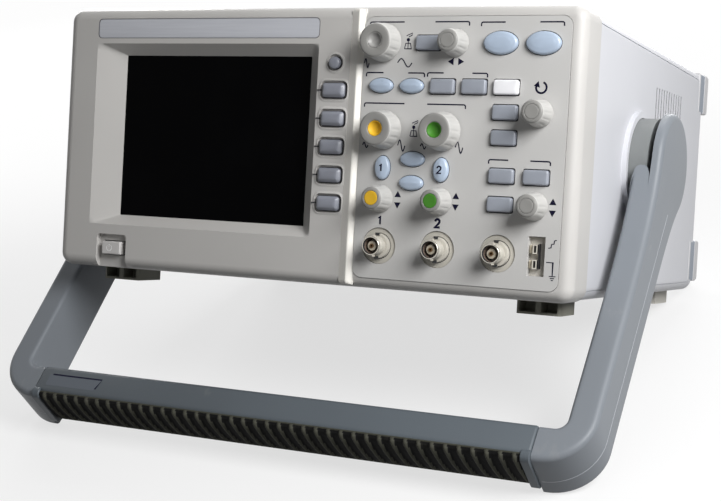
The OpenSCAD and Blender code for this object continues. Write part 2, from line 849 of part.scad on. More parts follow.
module main_board() standing() color([0.10, 0.36, 0.18]) {
  along_z(main_board_z, main_board_z + main_board_t)
    corner_box(main_board_x0, main_board_y0, main_board_x1, main_board_y1);
  for (x = [ch1_x, ch2_x]) along_z(main_board_z, main_board_z + amp_h)
    corner_box(x - amp_w / 2, main_board_y0 + amp_gap, x + amp_w / 2, main_board_y0 + amp_gap + amp_l);
  translate([main_board_x0 + chip_x, main_board_y0 + chip_y, main_board_z]) cube([chip_w, chip_w, chip_h]);
}

module power_supply() standing() color([0.60, 0.52, 0.30]) {
  translate([supply_x1 - supply_w, supply_y0, supply_z]) {
    cube([supply_w, supply_l, main_board_t]);
    translate([transformer_x, transformer_y, 0]) cube([transformer_w, transformer_w, transformer_h]);
    translate([heat_sink_x, heat_sink_y, 0]) cube([heat_sink_t, heat_sink_l, heat_sink_h]);
    for (y = big_can_y) translate([big_can_x, y, 0]) cylinder(r = big_can_r, h = big_can_h);
    for (y = small_can_y) translate([small_can_x, y, 0]) cylinder(r = small_can_r, h = small_can_h);
  }
}

// Fan: frame with four struts and a pin, rotor with its blades
module fan_frame() standing() color([0.12, 0.12, 0.13]) {
  on_rear(fan_x, fan_z) {
    difference() {
      translate([0, 0, fan_y0]) linear_extrude(fan_t) square(fan_w, center = true);
      translate([0, 0, fan_y0 - over]) cylinder(r = fan_bore_r, h = fan_t + 2 * over);
    }
    translate([0, 0, fan_y1 - fan_wall]) {
      cylinder(r = fan_hub_r, h = fan_wall);
      for (a = [45, 135]) rotate(a) translate([-fan_bore_r - fan_strut_bite, -fan_strut_w / 2, 0])
        cube([2 * (fan_bore_r + fan_strut_bite), fan_strut_w, fan_wall]);
    }
    translate([0, 0, fan_y0 + fan_pin_y]) cylinder(r = fan_pin_r, h = fan_t - fan_pin_y - fan_pin_bite);
  }
}

module fan_rotor() standing() color([0.18, 0.18, 0.19]) {
  hub_l = fan_t - fan_wall - fan_run_gap - fan_hub_gap;
  on_rear(fan_x, fan_z) translate([0, 0, fan_y0 + fan_hub_gap]) difference() {
    union() {
      cylinder(r = fan_hub_r, h = hub_l);
      intersection() {
        translate([0, 0, fan_hub_gap]) cylinder(r = fan_bore_r - fan_tip_gap, h = hub_l - 2 * fan_hub_gap);
        for (i = [0 : fan_blades - 1])
          rotate(i * 360 / fan_blades) translate([fan_hub_r - fan_blade_root, 0, fan_t / 2 - fan_hub_gap])
            rotate([fan_blade_angle, 0, 0]) translate([0, -fan_blade_w / 2, -fan_blade_t / 2])
              cube([fan_bore_r, fan_blade_w, fan_blade_t]);
      }
    }
    translate([0, 0, fan_pin_y - fan_hub_gap - fan_seat_gap])
      cylinder(r = fan_pin_r + shaft_clear, h = fan_t);
  }
}

// Mains inlet with its three pins
module mains_inlet() standing() color([0.07, 0.07, 0.07]) {
  body_w = inlet_w / 2 + inlet_wall;
  body_h = inlet_h / 2 + inlet_wall;
  difference() {
    union() {
      along_y(case_d - inlet_d, case_d + inlet_flange_t)
        corner_box(inlet_x - body_w, inlet_z - body_h, inlet_x + body_w, inlet_z + body_h);
      along_y(case_d, case_d + inlet_flange_t)
        round_box(inlet_x - body_w - inlet_flange, inlet_z - body_h - inlet_flange,
                  inlet_x + body_w + inlet_flange, inlet_z + body_h + inlet_flange, inlet_r);
    }
    along_y(case_d + inlet_flange_t - inlet_d, case_d + inlet_flange_t + over)
      corner_box(inlet_x - inlet_w / 2, inlet_z - inlet_h / 2, inlet_x + inlet_w / 2, inlet_z + inlet_h / 2);
  }
  for (i = [-1 : 1])
    along_y(case_d - inlet_d + inlet_pin_root, case_d - inlet_d + inlet_flange_t + inlet_pin_l)
      translate([inlet_x + i * inlet_pin_dx, inlet_z + (1 - 2 * abs(i)) * inlet_pin_dz])
        square([inlet_pin_w, inlet_pin_h], center = true);
}

// Coaxial sockets: shell with bayonet lugs, insulator and contact
module on_coax() for (x = coax_x) on_panel(x, coax_row) children();

module bnc_shells() standing() color([0.78, 0.76, 0.70]) on_coax() difference() {
  union() {
    translate([0, 0, coax_seat]) cylinder(r = coax_r, h = coax_proud - coax_seat);
    translate([0, 0, coax_seat]) cylinder(r = coax_recess_r - coax_ring_step, h = coax_ring_h);
    translate([0, 0, -coax_back]) cylinder(r = coax_body_r, h = coax_back + coax_seat);
    translate([0, 0, coax_proud - coax_lug_back]) rotate([90, 0, 0])
      cylinder(r = coax_lug_r, h = 2 * coax_lug_tip, center = true);
  }
  translate([0, 0, coax_floor - coax_back]) cylinder(r = coax_bore_r, h = coax_proud + coax_back);
  translate([0, 0, -coax_back - over]) cylinder(r = contact_r + contact_gap, h = coax_floor + 2 * over);
}

module bnc_insulators() standing() color([0.93, 0.90, 0.80]) on_coax() difference() {
  union() {
    translate([0, 0, coax_floor - coax_back]) cylinder(r = coax_bore_r, h = coax_back - coax_floor);
    translate([0, 0, -insulator_foot])
      cylinder(r = insulator_r, h = coax_proud - insulator_drop + insulator_foot);
  }
  translate([0, 0, -coax_back]) cylinder(r = contact_r, h = coax_proud + coax_back + over);
}

module bnc_contacts() standing() color([0.83, 0.68, 0.30]) on_coax() difference() {
  translate([0, 0, -coax_back - contact_tail])
    cylinder(r = contact_r, h = coax_back + contact_tail + coax_proud - contact_drop);
  translate([0, 0, coax_proud - contact_hole_l]) cylinder(r = contact_hole_r, h = contact_hole_l + over);
}

// Two metal loops in the probe recess
module probe_terminals() standing() color([0.80, 0.79, 0.74]) {
  for (z = loop_z) translate([probe_x - loop_shift, 0, probe_z + z]) difference() {
    along_y(-loop_proud, probe_floor) square([loop_w, loop_h], center = true);
    along_x(-loop_w, loop_w) corner_box(loop_t - loop_proud, loop_t - loop_h / 2,
                                        probe_floor - loop_back_t, loop_h / 2 - loop_t);
  }
}

// Feet under the case and bumpers behind it
module foot(y0, l) {
  along_z(foot_z, tube_z0) round_box(foot_x - foot_w / 2, y0, foot_x + foot_w / 2, y0 + l, foot_r);
}

module feet() standing() color([0.55, 0.58, 0.59]) both_sides() {
  difference() {
    foot(foot_front_y, foot_l - front_foot_cut);
    for (x = [-pocket_x, pocket_x])
      along_y(foot_front_y - over, foot_front_y + pocket_d)
        corner_box(foot_x + x - pocket_w / 2, foot_z + pocket_floor,
                   foot_x + x + pocket_w / 2, foot_z + pocket_floor + pocket_h);
  }
  along_z(foot_z, tube_z0)
    corner_box(foot_x - foot_w / 2, foot_back_y - foot_l, foot_x + foot_w / 2, foot_back_y);
}

module rear_bumpers() standing() color([0.80, 0.81, 0.83]) both_sides() {
  for (z = [bumper_low_z, bumper_high_z])
    along_x(bumper_x1 - bumper_w, bumper_x1) {
      round_box(case_d, z, case_d + bumper_d, z + bumper_h, bumper_r);
      corner_box(case_d, z, case_d + bumper_r, z + bumper_h);
    }
}

// Hub drums on the case sides, bored for the pivot pins
module handle_hubs() standing() color([0.56, 0.58, 0.59]) both_sides() {
  translate([0, pivot_y, pivot_z]) rotate([0, 90, 0]) difference() {
    union() {
      translate([0, 0, tube_half]) cylinder(r = drum_r, h = head_x0 - head_gap - tube_half);
      translate([0, 0, tube_half - wall - 0.6]) cylinder(r = boss_r, h = wall + 1);
    }
    translate([0, 0, tube_half - 2 * wall]) cylinder(r = pin_r + pin_clear, h = arm_x1);
  }
}

// Handle: the U of arms and crossbar seen from the front, and the arms seen from the side
module handle_u() {
  difference() {
    round_box(-arm_x1, -arm_reach, arm_x1, arm_reach, handle_corner_r);
    round_box(-arm_x0, -bar_top, arm_x0, arm_reach + over, handle_inner_r);
  }
}

module arm_side() {
  circle(head_r);
  round_box(-arm_lead, -arm_reach, arm_deep - arm_lead, heel_r, heel_r);
}

module arm_right() {
  intersection() {
    along_y(-head_r - over, head_r + over) intersection() {
      handle_u();
      corner_box(bar_half, -arm_reach - over, arm_x1 + over, head_r + over);
    }
    difference() {
      along_x(bar_half - over, arm_x1 + over) arm_side();
      along_x(0, head_x0) {
        circle(drum_r + drum_gap);
        corner_box(-head_r - over, tongue_z, head_r + over, head_r + over);
      }
      along_y(-head_r - over, head_r + over) {
        polygon([
          [arm_x0 - over, tongue_foot_z], [arm_x0 + tongue_foot_in, tongue_foot_z],
          [arm_x0 + tongue_neck_in, tongue_neck_z], [arm_x0 + tongue_tip_in, 0], [arm_x0 - over, 0]
        ]);
        polygon([
          [head_x0, tongue_foot_z], [head_x0, 0], [head_x0 - tongue_tip_out, 0],
          [head_x0 - tongue_neck_out, tongue_neck_z]
        ]);
      }
    }
  }
  translate([pin_end, 0, 0]) rotate([0, 90, 0]) cylinder(r = pin_r, h = head_x0 - pin_end + 2);
}

module handle_arm_left() standing() color([0.53, 0.55, 0.57]) on_handle() mirror([1, 0, 0]) arm_right();

module handle_arm_right() standing() color([0.53, 0.55, 0.57]) on_handle() arm_right();

module handle_crossbar() standing() color([0.34, 0.36, 0.37]) on_handle() {
  along_x(-bar_half, bar_half)
    round_box(-bar_lead, -arm_reach - grip_out + grip_t, bar_deep - bar_lead, -bar_top, bar_r);
}

module handle_grip() standing() color([0.08, 0.09, 0.09]) on_handle() {
  y0 = -bar_lead - grip_out;
  y1 = bar_deep - bar_lead;
  z0 = -arm_reach - grip_out;
  pitch = 2 * (bar_half - rib_slant) / grip_ribs;
  intersection() {
    along_x(-bar_half, bar_half) round_box(y0, z0, y1, z0 + grip_t + grip_r, grip_r);
    translate([0, 0, z0]) union() {
      along_z(rib_h, grip_t) corner_box(-bar_half, y0 - over, bar_half, y1 + over);
      along_z(0, rib_h + rib_bite) for (i = [0 : grip_ribs - 1]) {
        x = -bar_half + rib_slant + (i + 0.5) * pitch;
        polygon([[x - rib_slant / 2 - rib_w / 2, y0 - over], [x - rib_slant / 2 + rib_w / 2, y0 - over],
                 [x + rib_slant / 2 + rib_w / 2, y1 + over], [x + rib_slant / 2 - rib_w / 2, y1 + over]]);
      }
    }
  }
}

// Knobs: a tapered body with a rounded skirt; small ones carry their own spindle
module knob_body(base_r, face_r, back) {
  rim_r = face_r + knob_swell;
  rotate_extrude() polygon([
    [0, back], [base_r, back], [base_r, back + knob_skirt], [rim_r, knob_h - knob_rim],
    [rim_r - knob_rim, knob_h], [0, knob_h]
  ]);
}

module big_knob(p) standing() on_panel(p.x, p.y) difference() {
  knob_body(big_base_r, big_face_r, panel_proud + knob_push + push_gap);
  translate([0, 0, -over]) cylinder(r = shaft_r + shaft_clear, h = shaft_in_knob + over + shaft_tip_gap);
  translate([0, 0, knob_h + dish_lift]) sphere(r = dish_r);
}

module scale_shaft(p) standing() on_panel(p.x, p.y) color([0.72, 0.72, 0.74]) {
  translate([0, 0, -shaft_end]) cylinder(r = shaft_r, h = shaft_end + shaft_in_knob);
}

module small_knob(p) standing() on_panel(p.x, p.y) {
  knob_body(small_base_r, small_face_r, panel_proud + push_gap);
  translate([0, 0, -shaft_end]) cylinder(r = shaft_r, h = shaft_end + knob_skirt);
}

// Buttons: a cap that stands out, a flange behind the panel and a stem towards the board
module push_button(p, back, stem) standing() on_panel(p.x, p.y) {
  translate([0, 0, -stem]) linear_extrude(stem + key_proud) children(0);
  translate([0, 0, -back - key_gap - flange_t]) linear_extrude(flange_t) children(1);
}

module grey_key(p) push_button(p, panel_back, stem_end) {
  centred_box(key_w, key_h, key_r);
  square([key_w + 2 * flange, key_h + 2 * flange], center = true);
}

module oval_button(p, w, h) push_button(p, panel_back, stem_end) {
  oval(w, h);
  square([w + 2 * flange, h + 2 * flange], center = true);
}

module run_button(p) color(oval_blue) oval_button(p, run_w, run_h);

module small_oval_button(p) color(oval_blue) oval_button(p, oval_w, oval_h);

module channel_button(p) color(oval_blue) oval_button(p, channel_w, channel_h);

module softkey(i) push_button([softkey_x, softkey_row - i * softkey_pitch], bezel_front_t, stem_end) {
  softkey_shape();
  square([key_w + 2 * flange, key_h + 2 * flange], center = true);
}

module menu_button() color([0.55, 0.55, 0.57])
  push_button([softkey_x, menu_row], bezel_front_t, stem_end) {
    circle(menu_r);
    square(2 * (menu_r + flange), center = true);
  }

module power_button() standing() color([0.70, 0.69, 0.67]) {
  along_y(-power_proud, power_stem) corner_box(power_x - power_w / 2, power_z - power_h / 2,
                                       power_x + power_w / 2, power_z + power_h / 2);
  along_y(power_back + key_gap, power_back + key_gap + flange_t)
    corner_box(power_x - power_w / 2 - flange, power_z - power_h / 2 - flange,
               power_x + power_w / 2 + flange, power_z + power_h / 2 + flange);
}

front_bezel();
control_panel();
display_window();
lcd_module();
cabinet();
rear_panel();
key_board();
encoder_bodies();
main_board();
power_supply();
fan_frame();
fan_rotor();
mains_inlet();
bnc_shells();
bnc_insulators();
bnc_contacts();
probe_terminals();
feet();
rear_bumpers();
handle_hubs();
screws();
handle_arm_left();
handle_arm_right();
handle_crossbar();
handle_grip();
scale_shaft(big_knobs[0]);  // horizontal_scale_shaft
scale_shaft(big_knobs[1]);  // ch1_scale_shaft
scale_shaft(big_knobs[2]);  // ch2_scale_shaft
color(knob_grey) big_knob(big_knobs[0]);  // horizontal_scale_knob
color(knob_grey) big_knob(big_knobs[1]);  // ch1_scale_knob
color(knob_grey) big_knob(big_knobs[2]);  // ch2_scale_knob
color(knob_grey) small_knob(small_knobs[0]);  // horizontal_position_knob
color(knob_grey) small_knob(small_knobs[1]);  // entry_knob
color(knob_grey) small_knob(small_knobs[2]);  // ch1_position_knob
color(knob_grey) small_knob(small_knobs[3]);  // ch2_position_knob
color(knob_grey) small_knob(small_knobs[4]);  // trigger_level_knob
menu_button();
color(softkey_grey) softkey(0);  // softkey_1
color(softkey_grey) softkey(1);  // softkey_2
color(softkey_grey) softkey(2);  // softkey_3
color(softkey_grey) softkey(3);  // softkey_4
color(softkey_grey) softkey(4);  // softkey_5
power_button();
color(key_grey) grey_key(key_places[0]);  // main_delayed_button
run_button(run_places[0]);  // run_stop_button
run_button(run_places[1]);  // single_button
small_oval_button(oval_places[0]);  // cursors_button
small_oval_button(oval_places[1]);  // measure_button
color(key_grey) grey_key(key_places[1]);  // acquire_button
color(key_grey) grey_key(key_places[2]);  // display_button
color(auto_white) grey_key(key_places[3]);  // auto_scale_button
color(key_grey) grey_key(key_places[4]);  // save_recall_button
color(key_grey) grey_key(key_places[5]);  // utility_button
channel_button(channel_places[0]);  // ch1_button
channel_button(channel_places[1]);  // ch2_button
small_oval_button(oval_places[2]);  // math_button
small_oval_button(oval_places[3]);  // ref_button
color(key_grey) grey_key(key_places[6]);  // force_button
color(key_grey) grey_key(key_places[7]);  // mode_coupling_button
color(key_grey) grey_key(key_places[8]);  // fifty_percent_button
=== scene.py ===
"""Looks of a bench oscilloscope that stands tilted back on its carrying handle."""

import json
import math

import bmesh
import bpy
from mathutils import Euler, Matrix, Vector


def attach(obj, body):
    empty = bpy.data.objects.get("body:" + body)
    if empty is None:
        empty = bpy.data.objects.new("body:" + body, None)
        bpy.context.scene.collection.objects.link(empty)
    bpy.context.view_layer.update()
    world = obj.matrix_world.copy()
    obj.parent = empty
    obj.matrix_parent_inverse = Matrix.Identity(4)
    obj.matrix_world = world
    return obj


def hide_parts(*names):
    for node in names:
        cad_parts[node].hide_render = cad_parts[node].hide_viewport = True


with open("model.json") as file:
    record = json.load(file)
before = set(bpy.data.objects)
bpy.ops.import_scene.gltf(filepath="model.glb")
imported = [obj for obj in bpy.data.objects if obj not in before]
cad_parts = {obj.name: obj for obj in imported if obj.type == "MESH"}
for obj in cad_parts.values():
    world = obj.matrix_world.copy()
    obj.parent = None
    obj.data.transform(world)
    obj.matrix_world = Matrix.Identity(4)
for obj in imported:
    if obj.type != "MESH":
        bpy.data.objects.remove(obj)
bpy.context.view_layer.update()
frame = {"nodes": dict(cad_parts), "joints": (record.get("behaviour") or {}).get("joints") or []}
nodes = frame["nodes"]
joints = {joint["name"]: joint for joint in frame["joints"]}

# Sizes in millimetres, level: x to the right, y to the back, z up from the case bottom
CASE_H = 145.0
PANEL_FACE = 0.4
PIVOT = Vector((0.0, 104.5, 72.5))
ARM_ANGLE = math.radians(39)

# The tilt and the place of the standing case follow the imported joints
press = joints["menu_button_press"]["axis"]
tilt = math.atan2(-press[2], press[1])
lean = Matrix.Rotation(-tilt, 4, "X") @ Matrix.Scale(0.001, 4)
hinge = Vector(joints["handle_swing"]["pos_m"])
STAND = Matrix.Translation(hinge - lean @ PIVOT) @ lean
HANDLE = STAND @ Matrix.Translation(PIVOT) @ Matrix.Rotation(-ARM_ANGLE, 4, "X")


def on_panel(x=0.0, z=0.0):
    """Frame on the front: local x to the right, y up, z out of the panel."""
    return STAND @ Matrix(((1, 0, 0, x), (0, 0, -1, 0), (0, 1, 0, z), (0, 0, 0, 1)))


def srgb(red, green, blue):
    """Linear colour of an sRGB triple from 0 to 255."""
    line = [c / 255 for c in (red, green, blue)]
    return tuple(c / 12.92 if c <= 0.04045 else ((c + 0.055) / 1.055) ** 2.4 for c in line) + (1.0,)


def shade(colour, factor):
    """A colour made darker or paler by a factor."""
    return tuple(min(c * factor, 1.0) for c in colour[:3]) + (1.0,)


# Shader arithmetic
class Val:
    """A socket's value that takes part in Python expressions."""

    def __init__(self, paint, socket):
        self.paint, self.socket = paint, socket

    def op(self, operation, *terms):
        return self.paint.node("Math", {"operation": operation}, dict(enumerate(terms)))

    def __add__(self, other):
        return self.op("ADD", self, other)

    def __sub__(self, other):
        return self.op("SUBTRACT", self, other)

    def __rsub__(self, other):
        return self.op("SUBTRACT", other, self)

    def __mul__(self, other):
        return self.op("MULTIPLY", self, other)

    __radd__, __rmul__ = __add__, __mul__

    def most(self, other):
        """The greater of two values."""
        return self.op("MAXIMUM", self, other)

    def between(self, low, high):
        """0 below low, 1 above high, smooth between."""
        return self.paint.node("MapRange", {"interpolation_type": "SMOOTHSTEP"}, {0: self, 1: low, 2: high})


class Paint:
    """The node tree of a new material, or of the world that is given."""

    def __init__(self, name, world=None):
        self.material = world or bpy.data.materials.new(name)
        self.material.use_nodes = True
        self.tree = self.material.node_tree
        self.tree.nodes.clear()

    def node(self, kind, settings=None, sockets=None, out=0):
        """One node of a type, its settings set first, then its sockets' values or links."""
        made = self.tree.nodes.new("ShaderNode" + kind)
        for key, value in (settings or {}).items():
            setattr(made, key, value)
        for key, value in (sockets or {}).items():
            if isinstance(value, Val):
                self.tree.links.new(value.socket, made.inputs[key])
            else:
                made.inputs[key].default_value = value
        return Val(self, made.outputs[out]) if made.outputs else None

    def place(self):
        """Place of the shaded point, in metres."""
        return self.node("TexCoord", out="Object")

    def noise(self, scale, detail=2.0, rough=0.5, place=None):
        """Cloudy pattern with the given number of clouds to a metre."""
        sockets = {"Vector": place or self.place(), "Scale": scale, "Detail": detail, "Roughness": rough}
        return self.node("TexNoise", None, sockets)

    def stretched(self, x, y, z):
        """Place with each direction scaled; a factor below 1 draws a pattern out."""
        return self.node("VectorMath", {"operation": "MULTIPLY"}, {0: self.place(), 1: (x, y, z)})

    def blend(self, factor, first, second):
        """First colour where the factor is 0, second where it is 1."""
        return self.node("Mix", {"data_type": "RGBA"}, {0: factor, 6: first, 7: second}, out=2)

    def bump(self, height, distance):
        """Normal of a surface raised by a pattern, up to a distance in metres."""
        return self.node("Bump", None, {"Distance": distance, "Height": height})

    def seen(self):
        """1 for rays that show the surface itself: from the camera, in a mirror or through glass."""
        kinds = ("Camera", "Glossy", "Transmission")
        camera, mirror, glass = [self.node("LightPath", out=f"Is {kind} Ray") for kind in kinds]
        return camera.most(mirror.most(glass))

    def surface(self, **sockets):
        """The Principled shader of the material; underscores stand for spaces."""
        spaced = {key.replace("_", " "): value for key, value in sockets.items()}
        shader = self.node("BsdfPrincipled", None, spaced)
        self.node("OutputMaterial", None, {"Surface": shader})
        return self.material


# Finishes: patterns in clouds to a metre, depths of bumps in metres
MOULD_GRAIN, MOULD_DEPTH, SMOOTH_DEPTH = 2500, 0.00001, 0.000001
RUBBER_GRAIN, RUBBER_DEPTH = 1400, 0.00004
RUB_TONE, RUB_SHARE = srgb(205, 202, 195), 0.10
GRIP_DUST, FOOT_DUST = srgb(96, 94, 88), srgb(110, 108, 102)
# The front feet share the pale rubber of the rear ones but are painted darker as shade
FRONT_FOOT_SHADE, REAR_FOOT = srgb(138, 137, 126), srgb(222, 219, 210)


def moulded(name, colour, roughness=0.45, depth=MOULD_DEPTH, mottle=0.05, specular=0.4):
    """Spark-textured moulded plastic: fine grain, cloudy tone and faint handling marks."""
    paint = Paint(name)
    fine = paint.noise(MOULD_GRAIN, 3.0, 0.6)
    cloud = paint.noise(14, 3.0)
    rub = paint.noise(60, 4.0, 0.65, paint.stretched(1.0, 0.35, 1.0))
    tone = paint.blend(cloud.between(0.3, 0.7), shade(colour, 1 - mottle), shade(colour, 1 + mottle))
    tone = paint.blend(rub.between(0.62, 0.8) * RUB_SHARE, tone, RUB_TONE)
    sheen = roughness + (cloud - 0.5) * 0.12 + (fine - 0.5) * 0.05 - rub.between(0.58, 0.75) * 0.02
    return paint.surface(Base_Color=tone, Roughness=sheen, Normal=paint.bump(fine, depth),
                         Specular_IOR_Level=specular)


def coated_key(name, colour, roughness=0.3):
    """Smooth key plastic of a slightly cloudy tone under a thin clear coat."""
    paint = Paint(name)
    cloud = paint.noise(90, 2.0)
    fine = paint.noise(1800, 2.0)
    tone = paint.blend(cloud.between(0.25, 0.75), shade(colour, 0.94), shade(colour, 1.05))
    return paint.surface(Base_Color=tone, Roughness=roughness + (cloud - 0.5) * 0.12,
                         Normal=paint.bump(fine, 0.000008), Coat_Weight=0.25, Coat_Roughness=0.2)


def rubber(name, colour, roughness=0.75):
    """Dull rubber with a fine grain and some pale dust."""
    paint = Paint(name)
    fine = paint.noise(RUBBER_GRAIN, 3.0)
    dusty = paint.noise(45, 4.0, 0.7)
    tone = paint.blend(dusty.between(0.5, 0.85) * 0.35, colour, GRIP_DUST)
    return paint.surface(Base_Color=tone, Roughness=roughness + (dusty - 0.5) * 0.2,
                         Normal=paint.bump(fine, RUBBER_DEPTH), Specular_IOR_Level=0.15)


def foot_rubber():
    """Rubber of the feet: the front feet are painted a darker grey as shade, the rear ones keep the paler
    rubber.
    """
    paint = Paint("foot_rubber")
    rear = paint.node("SeparateXYZ", None, {0: paint.place()}, out=1).between(-0.02, 0.02)
    worn = paint.noise(50, 4.0, 0.65)
    fine = paint.noise(RUBBER_GRAIN, 3.0)
    tone = paint.blend(rear, FRONT_FOOT_SHADE, REAR_FOOT)
    tone = paint.blend(worn.between(0.5, 0.85) * 0.3, tone, FOOT_DUST)
    return paint.surface(Base_Color=tone, Roughness=0.7 + (worn - 0.5) * 0.2,
                         Normal=paint.bump(fine, RUBBER_DEPTH))


def plated(name, colour, roughness=0.2):
    """Bright plating with turning marks and a slight haze."""
    paint = Paint(name)
    haze = paint.noise(220, 3.0)
    turned = paint.noise(3000, 1.0, 0.5, paint.stretched(0.2, 1.0, 1.0))
    tone = paint.blend(haze.between(0.3, 0.7), shade(colour, 0.86), colour)
    return paint.surface(Base_Color=tone, Metallic=1.0, Roughness=roughness + (haze - 0.5) * 0.16,
                         Normal=paint.bump(turned, 0.000006))


def screen_glass():
    """Black glass of a dark screen, smooth, with the faintest smudges."""
    paint = Paint("screen_glass")
    smudge = paint.noise(26, 4.0, 0.6)
    tone = paint.blend(smudge.between(0.4, 0.9), srgb(3, 3, 4), srgb(6, 6, 7))
    return paint.surface(Base_Color=tone, Roughness=0.16 + smudge.between(0.45, 0.8) * 0.12,
                         Specular_IOR_Level=0.015)


def brushed_plate():
    """Silver-grey printed plate with fine brushing along its length."""
    paint = Paint("name_plate_silver")
    brushed = paint.noise(900, 2.0, 0.5, paint.stretched(0.04, 1.0, 1.0))
    cloud = paint.noise(20, 2.0)
    tone = paint.blend(brushed, srgb(174, 176, 183), srgb(190, 192, 198))
    return paint.surface(Base_Color=tone, Roughness=0.42 + (cloud - 0.5) * 0.1, Metallic=0.25,
                         Normal=paint.bump(brushed, 0.00001))


def ink(name, colour):
    """Matt printing ink that covers a little unevenly."""
    paint = Paint(name)
    cover = paint.noise(700, 2.0)
    tone = paint.blend(cover.between(0.3, 0.8), colour, shade(colour, 1.5))
    return paint.surface(Base_Color=tone, Roughness=0.5 + (cover - 0.5) * 0.1, Specular_IOR_Level=0.1)


def board_green():
    """Green circuit board with paler lines between darker fields."""
    paint = Paint("board_green")
    sockets = {"Vector": paint.place(), "Scale": 120.0, "Mortar": srgb(40, 120, 70)}
    sockets.update(Color1=srgb(18, 78, 38), Color2=srgb(24, 92, 46))
    tracks = paint.node("TexBrick", {"offset": 0.4}, sockets)
    return paint.surface(Base_Color=tracks, Roughness=0.4 + (paint.noise(60) - 0.5) * 0.2)


FINISH = {
    "bezel": moulded("bezel_light_grey", srgb(194, 192, 189), 0.42, mottle=0.03),
    "panel": moulded("panel_light_grey", srgb(196, 195, 193), 0.45, mottle=0.02),
    "case": moulded("case_off_white", srgb(205, 206, 211), 0.45, mottle=0.02),
    "handle": moulded("handle_blue_grey", srgb(123, 128, 134), 0.42, SMOOTH_DEPTH, mottle=0.03, specular=0.3),
    "bar": moulded("bar_slate_grey", srgb(87, 94, 100), 0.45, SMOOTH_DEPTH, mottle=0.05, specular=0.3),
    "hub": moulded("hub_grey", srgb(120, 123, 123), 0.45, mottle=0.03),
    "label": moulded("label_slate_grey", srgb(90, 96, 104), 0.5, mottle=0.03),
    # Parting lines are the handle plastic painted pale as a highlight
    "parting": moulded("parting_line_painted_highlight", srgb(186, 189, 196), 0.5, mottle=0.03),
    # The dark ring round the name plate is painted shade at its edge
    "border": moulded("plate_edge_painted_shade", srgb(104, 104, 108), 0.5, mottle=0.03),
    # The divider ridge is bezel plastic painted near-white as a highlight
    "white_trim": moulded("ridge_painted_highlight", srgb(250, 247, 240), 0.35, mottle=0.01),
    "bumper": moulded("bumper_white", srgb(198, 198, 200), 0.45, mottle=0.03),
    "stripe": moulded("bumper_blue_grey", srgb(140, 148, 160), 0.5, mottle=0.03),
    "knob": moulded("knob_warm_grey", srgb(188, 187, 184), 0.42, mottle=0.03),
    # Knob faces, the small caps and the plain cup are the knob plastic painted darker as shade; the sides
    # take the light
    "knob_face": moulded("knob_face_painted_shade", srgb(142, 141, 138), 0.4, mottle=0.03),
    "dish": moulded("knob_dish_painted_shade", srgb(150, 149, 147), 0.35, mottle=0.03),
    "yellow": moulded("insert_yellow", srgb(228, 182, 50), 0.55, mottle=0.03, specular=0.25),
    "green": moulded("insert_green", srgb(66, 126, 40), 0.55, mottle=0.03, specular=0.25),
    "key": coated_key("key_silver_grey", srgb(146, 151, 161), 0.32),
    "softkey": coated_key("softkey_slate", srgb(128, 131, 141), 0.38),
    "oval": coated_key("oval_pale_blue", srgb(172, 187, 206), 0.3),
    "white_key": coated_key("key_white", srgb(244, 244, 247), 0.3),
    "power": coated_key("power_silver", srgb(204, 202, 200), 0.35),
    "plate": brushed_plate(),
    # Navy ink of the print, also a painted shade line on the crossbar label
    "ink": ink("navy_ink_and_label_shade", srgb(15, 14, 36)),
    "pale_ink": ink("ink_white", srgb(228, 228, 226)),
    "glass": screen_glass(),
    "nickel": plated("nickel", srgb(204, 199, 188), 0.22),
    "flange": moulded("flange_satin_nickel", srgb(190, 186, 176), 0.4, mottle=0.03),
    "lip": moulded("bore_brown_grey", srgb(116, 102, 92), 0.4),
    "gold": plated("gold_contact", srgb(104, 80, 56), 0.35),
    "steel": plated("screw_steel", srgb(150, 150, 152), 0.32),
    "shaft": plated("shaft_aluminium", srgb(190, 190, 194), 0.3),
    "cream": moulded("insulator_cream", srgb(196, 186, 166), 0.4, mottle=0.03),
    "foot": foot_rubber(),
    "grip": rubber("grip_rib_rubber", srgb(66, 66, 58), 0.7),
    # The grooves of the grip are painted black as the shade between its ribs
    "grip_groove": rubber("grip_groove_painted_shade", srgb(9, 9, 9), 0.9),
    "pocket": moulded("pocket_pale", srgb(206, 202, 194), 0.5, mottle=0.03),
    # Dark plastic of the inner parts, also painted shade on the sockets and in the probe loops
    "dark": moulded("dark_plastic", srgb(38, 38, 40), 0.5, mottle=0.06),
    # Dark of the softkey tick marks, also painted shade in the gaps round buttons and in the side slots
    "groove": moulded("painted_shade_and_tick_dark", srgb(46, 46, 50), 0.7, mottle=0.05),
    "board": board_green(),
    "supply": moulded("supply_tan", srgb(140, 120, 70), 0.5),
    "lcd": plated("lcd_shield", srgb(170, 170, 174), 0.35),
}

# Mesh making, in millimetres; points nearer than MERGE metres become one
LEAST_ROUND = 0.01
MERGE = 1e-7


def full_turn(count):
    """Angles of even steps round a full turn."""
    return [2 * math.pi * i / count for i in range(count)]


def quarter_turn(count, first=0):
    """Angles of even steps up to a quarter turn, from the given step on."""
    return [math.pi / 2 * i / count for i in range(first, count + 1)]


def round_rect(w, h, r, steps=5):
    """Points of a centred rounded rectangle, counter-clockwise."""
    r = max(min(r, w / 2 - LEAST_ROUND, h / 2 - LEAST_ROUND), LEAST_ROUND)
    points = []
    for quarter, (cx, cy) in enumerate(((1, 1), (-1, 1), (-1, -1), (1, -1))):
        for i in range(steps + 1):
            a = math.pi / 2 * (quarter + i / steps)
            points.append((cx * (w / 2 - r) + r * math.cos(a), cy * (h / 2 - r) + r * math.sin(a)))
    return points


def oval(w, h, count=56):
    """Points of a centred oval, counter-clockwise."""
    return [(w / 2 * math.cos(a), h / 2 * math.sin(a)) for a in full_turn(count)]


def heading(line, i):
    """Direction of a line of points in a plane, at its point i."""
    before, after = line[max(i - 1, 0)], line[min(i + 1, len(line) - 1)]
    return Vector((after[0] - before[0], after[1] - before[1])).normalized()


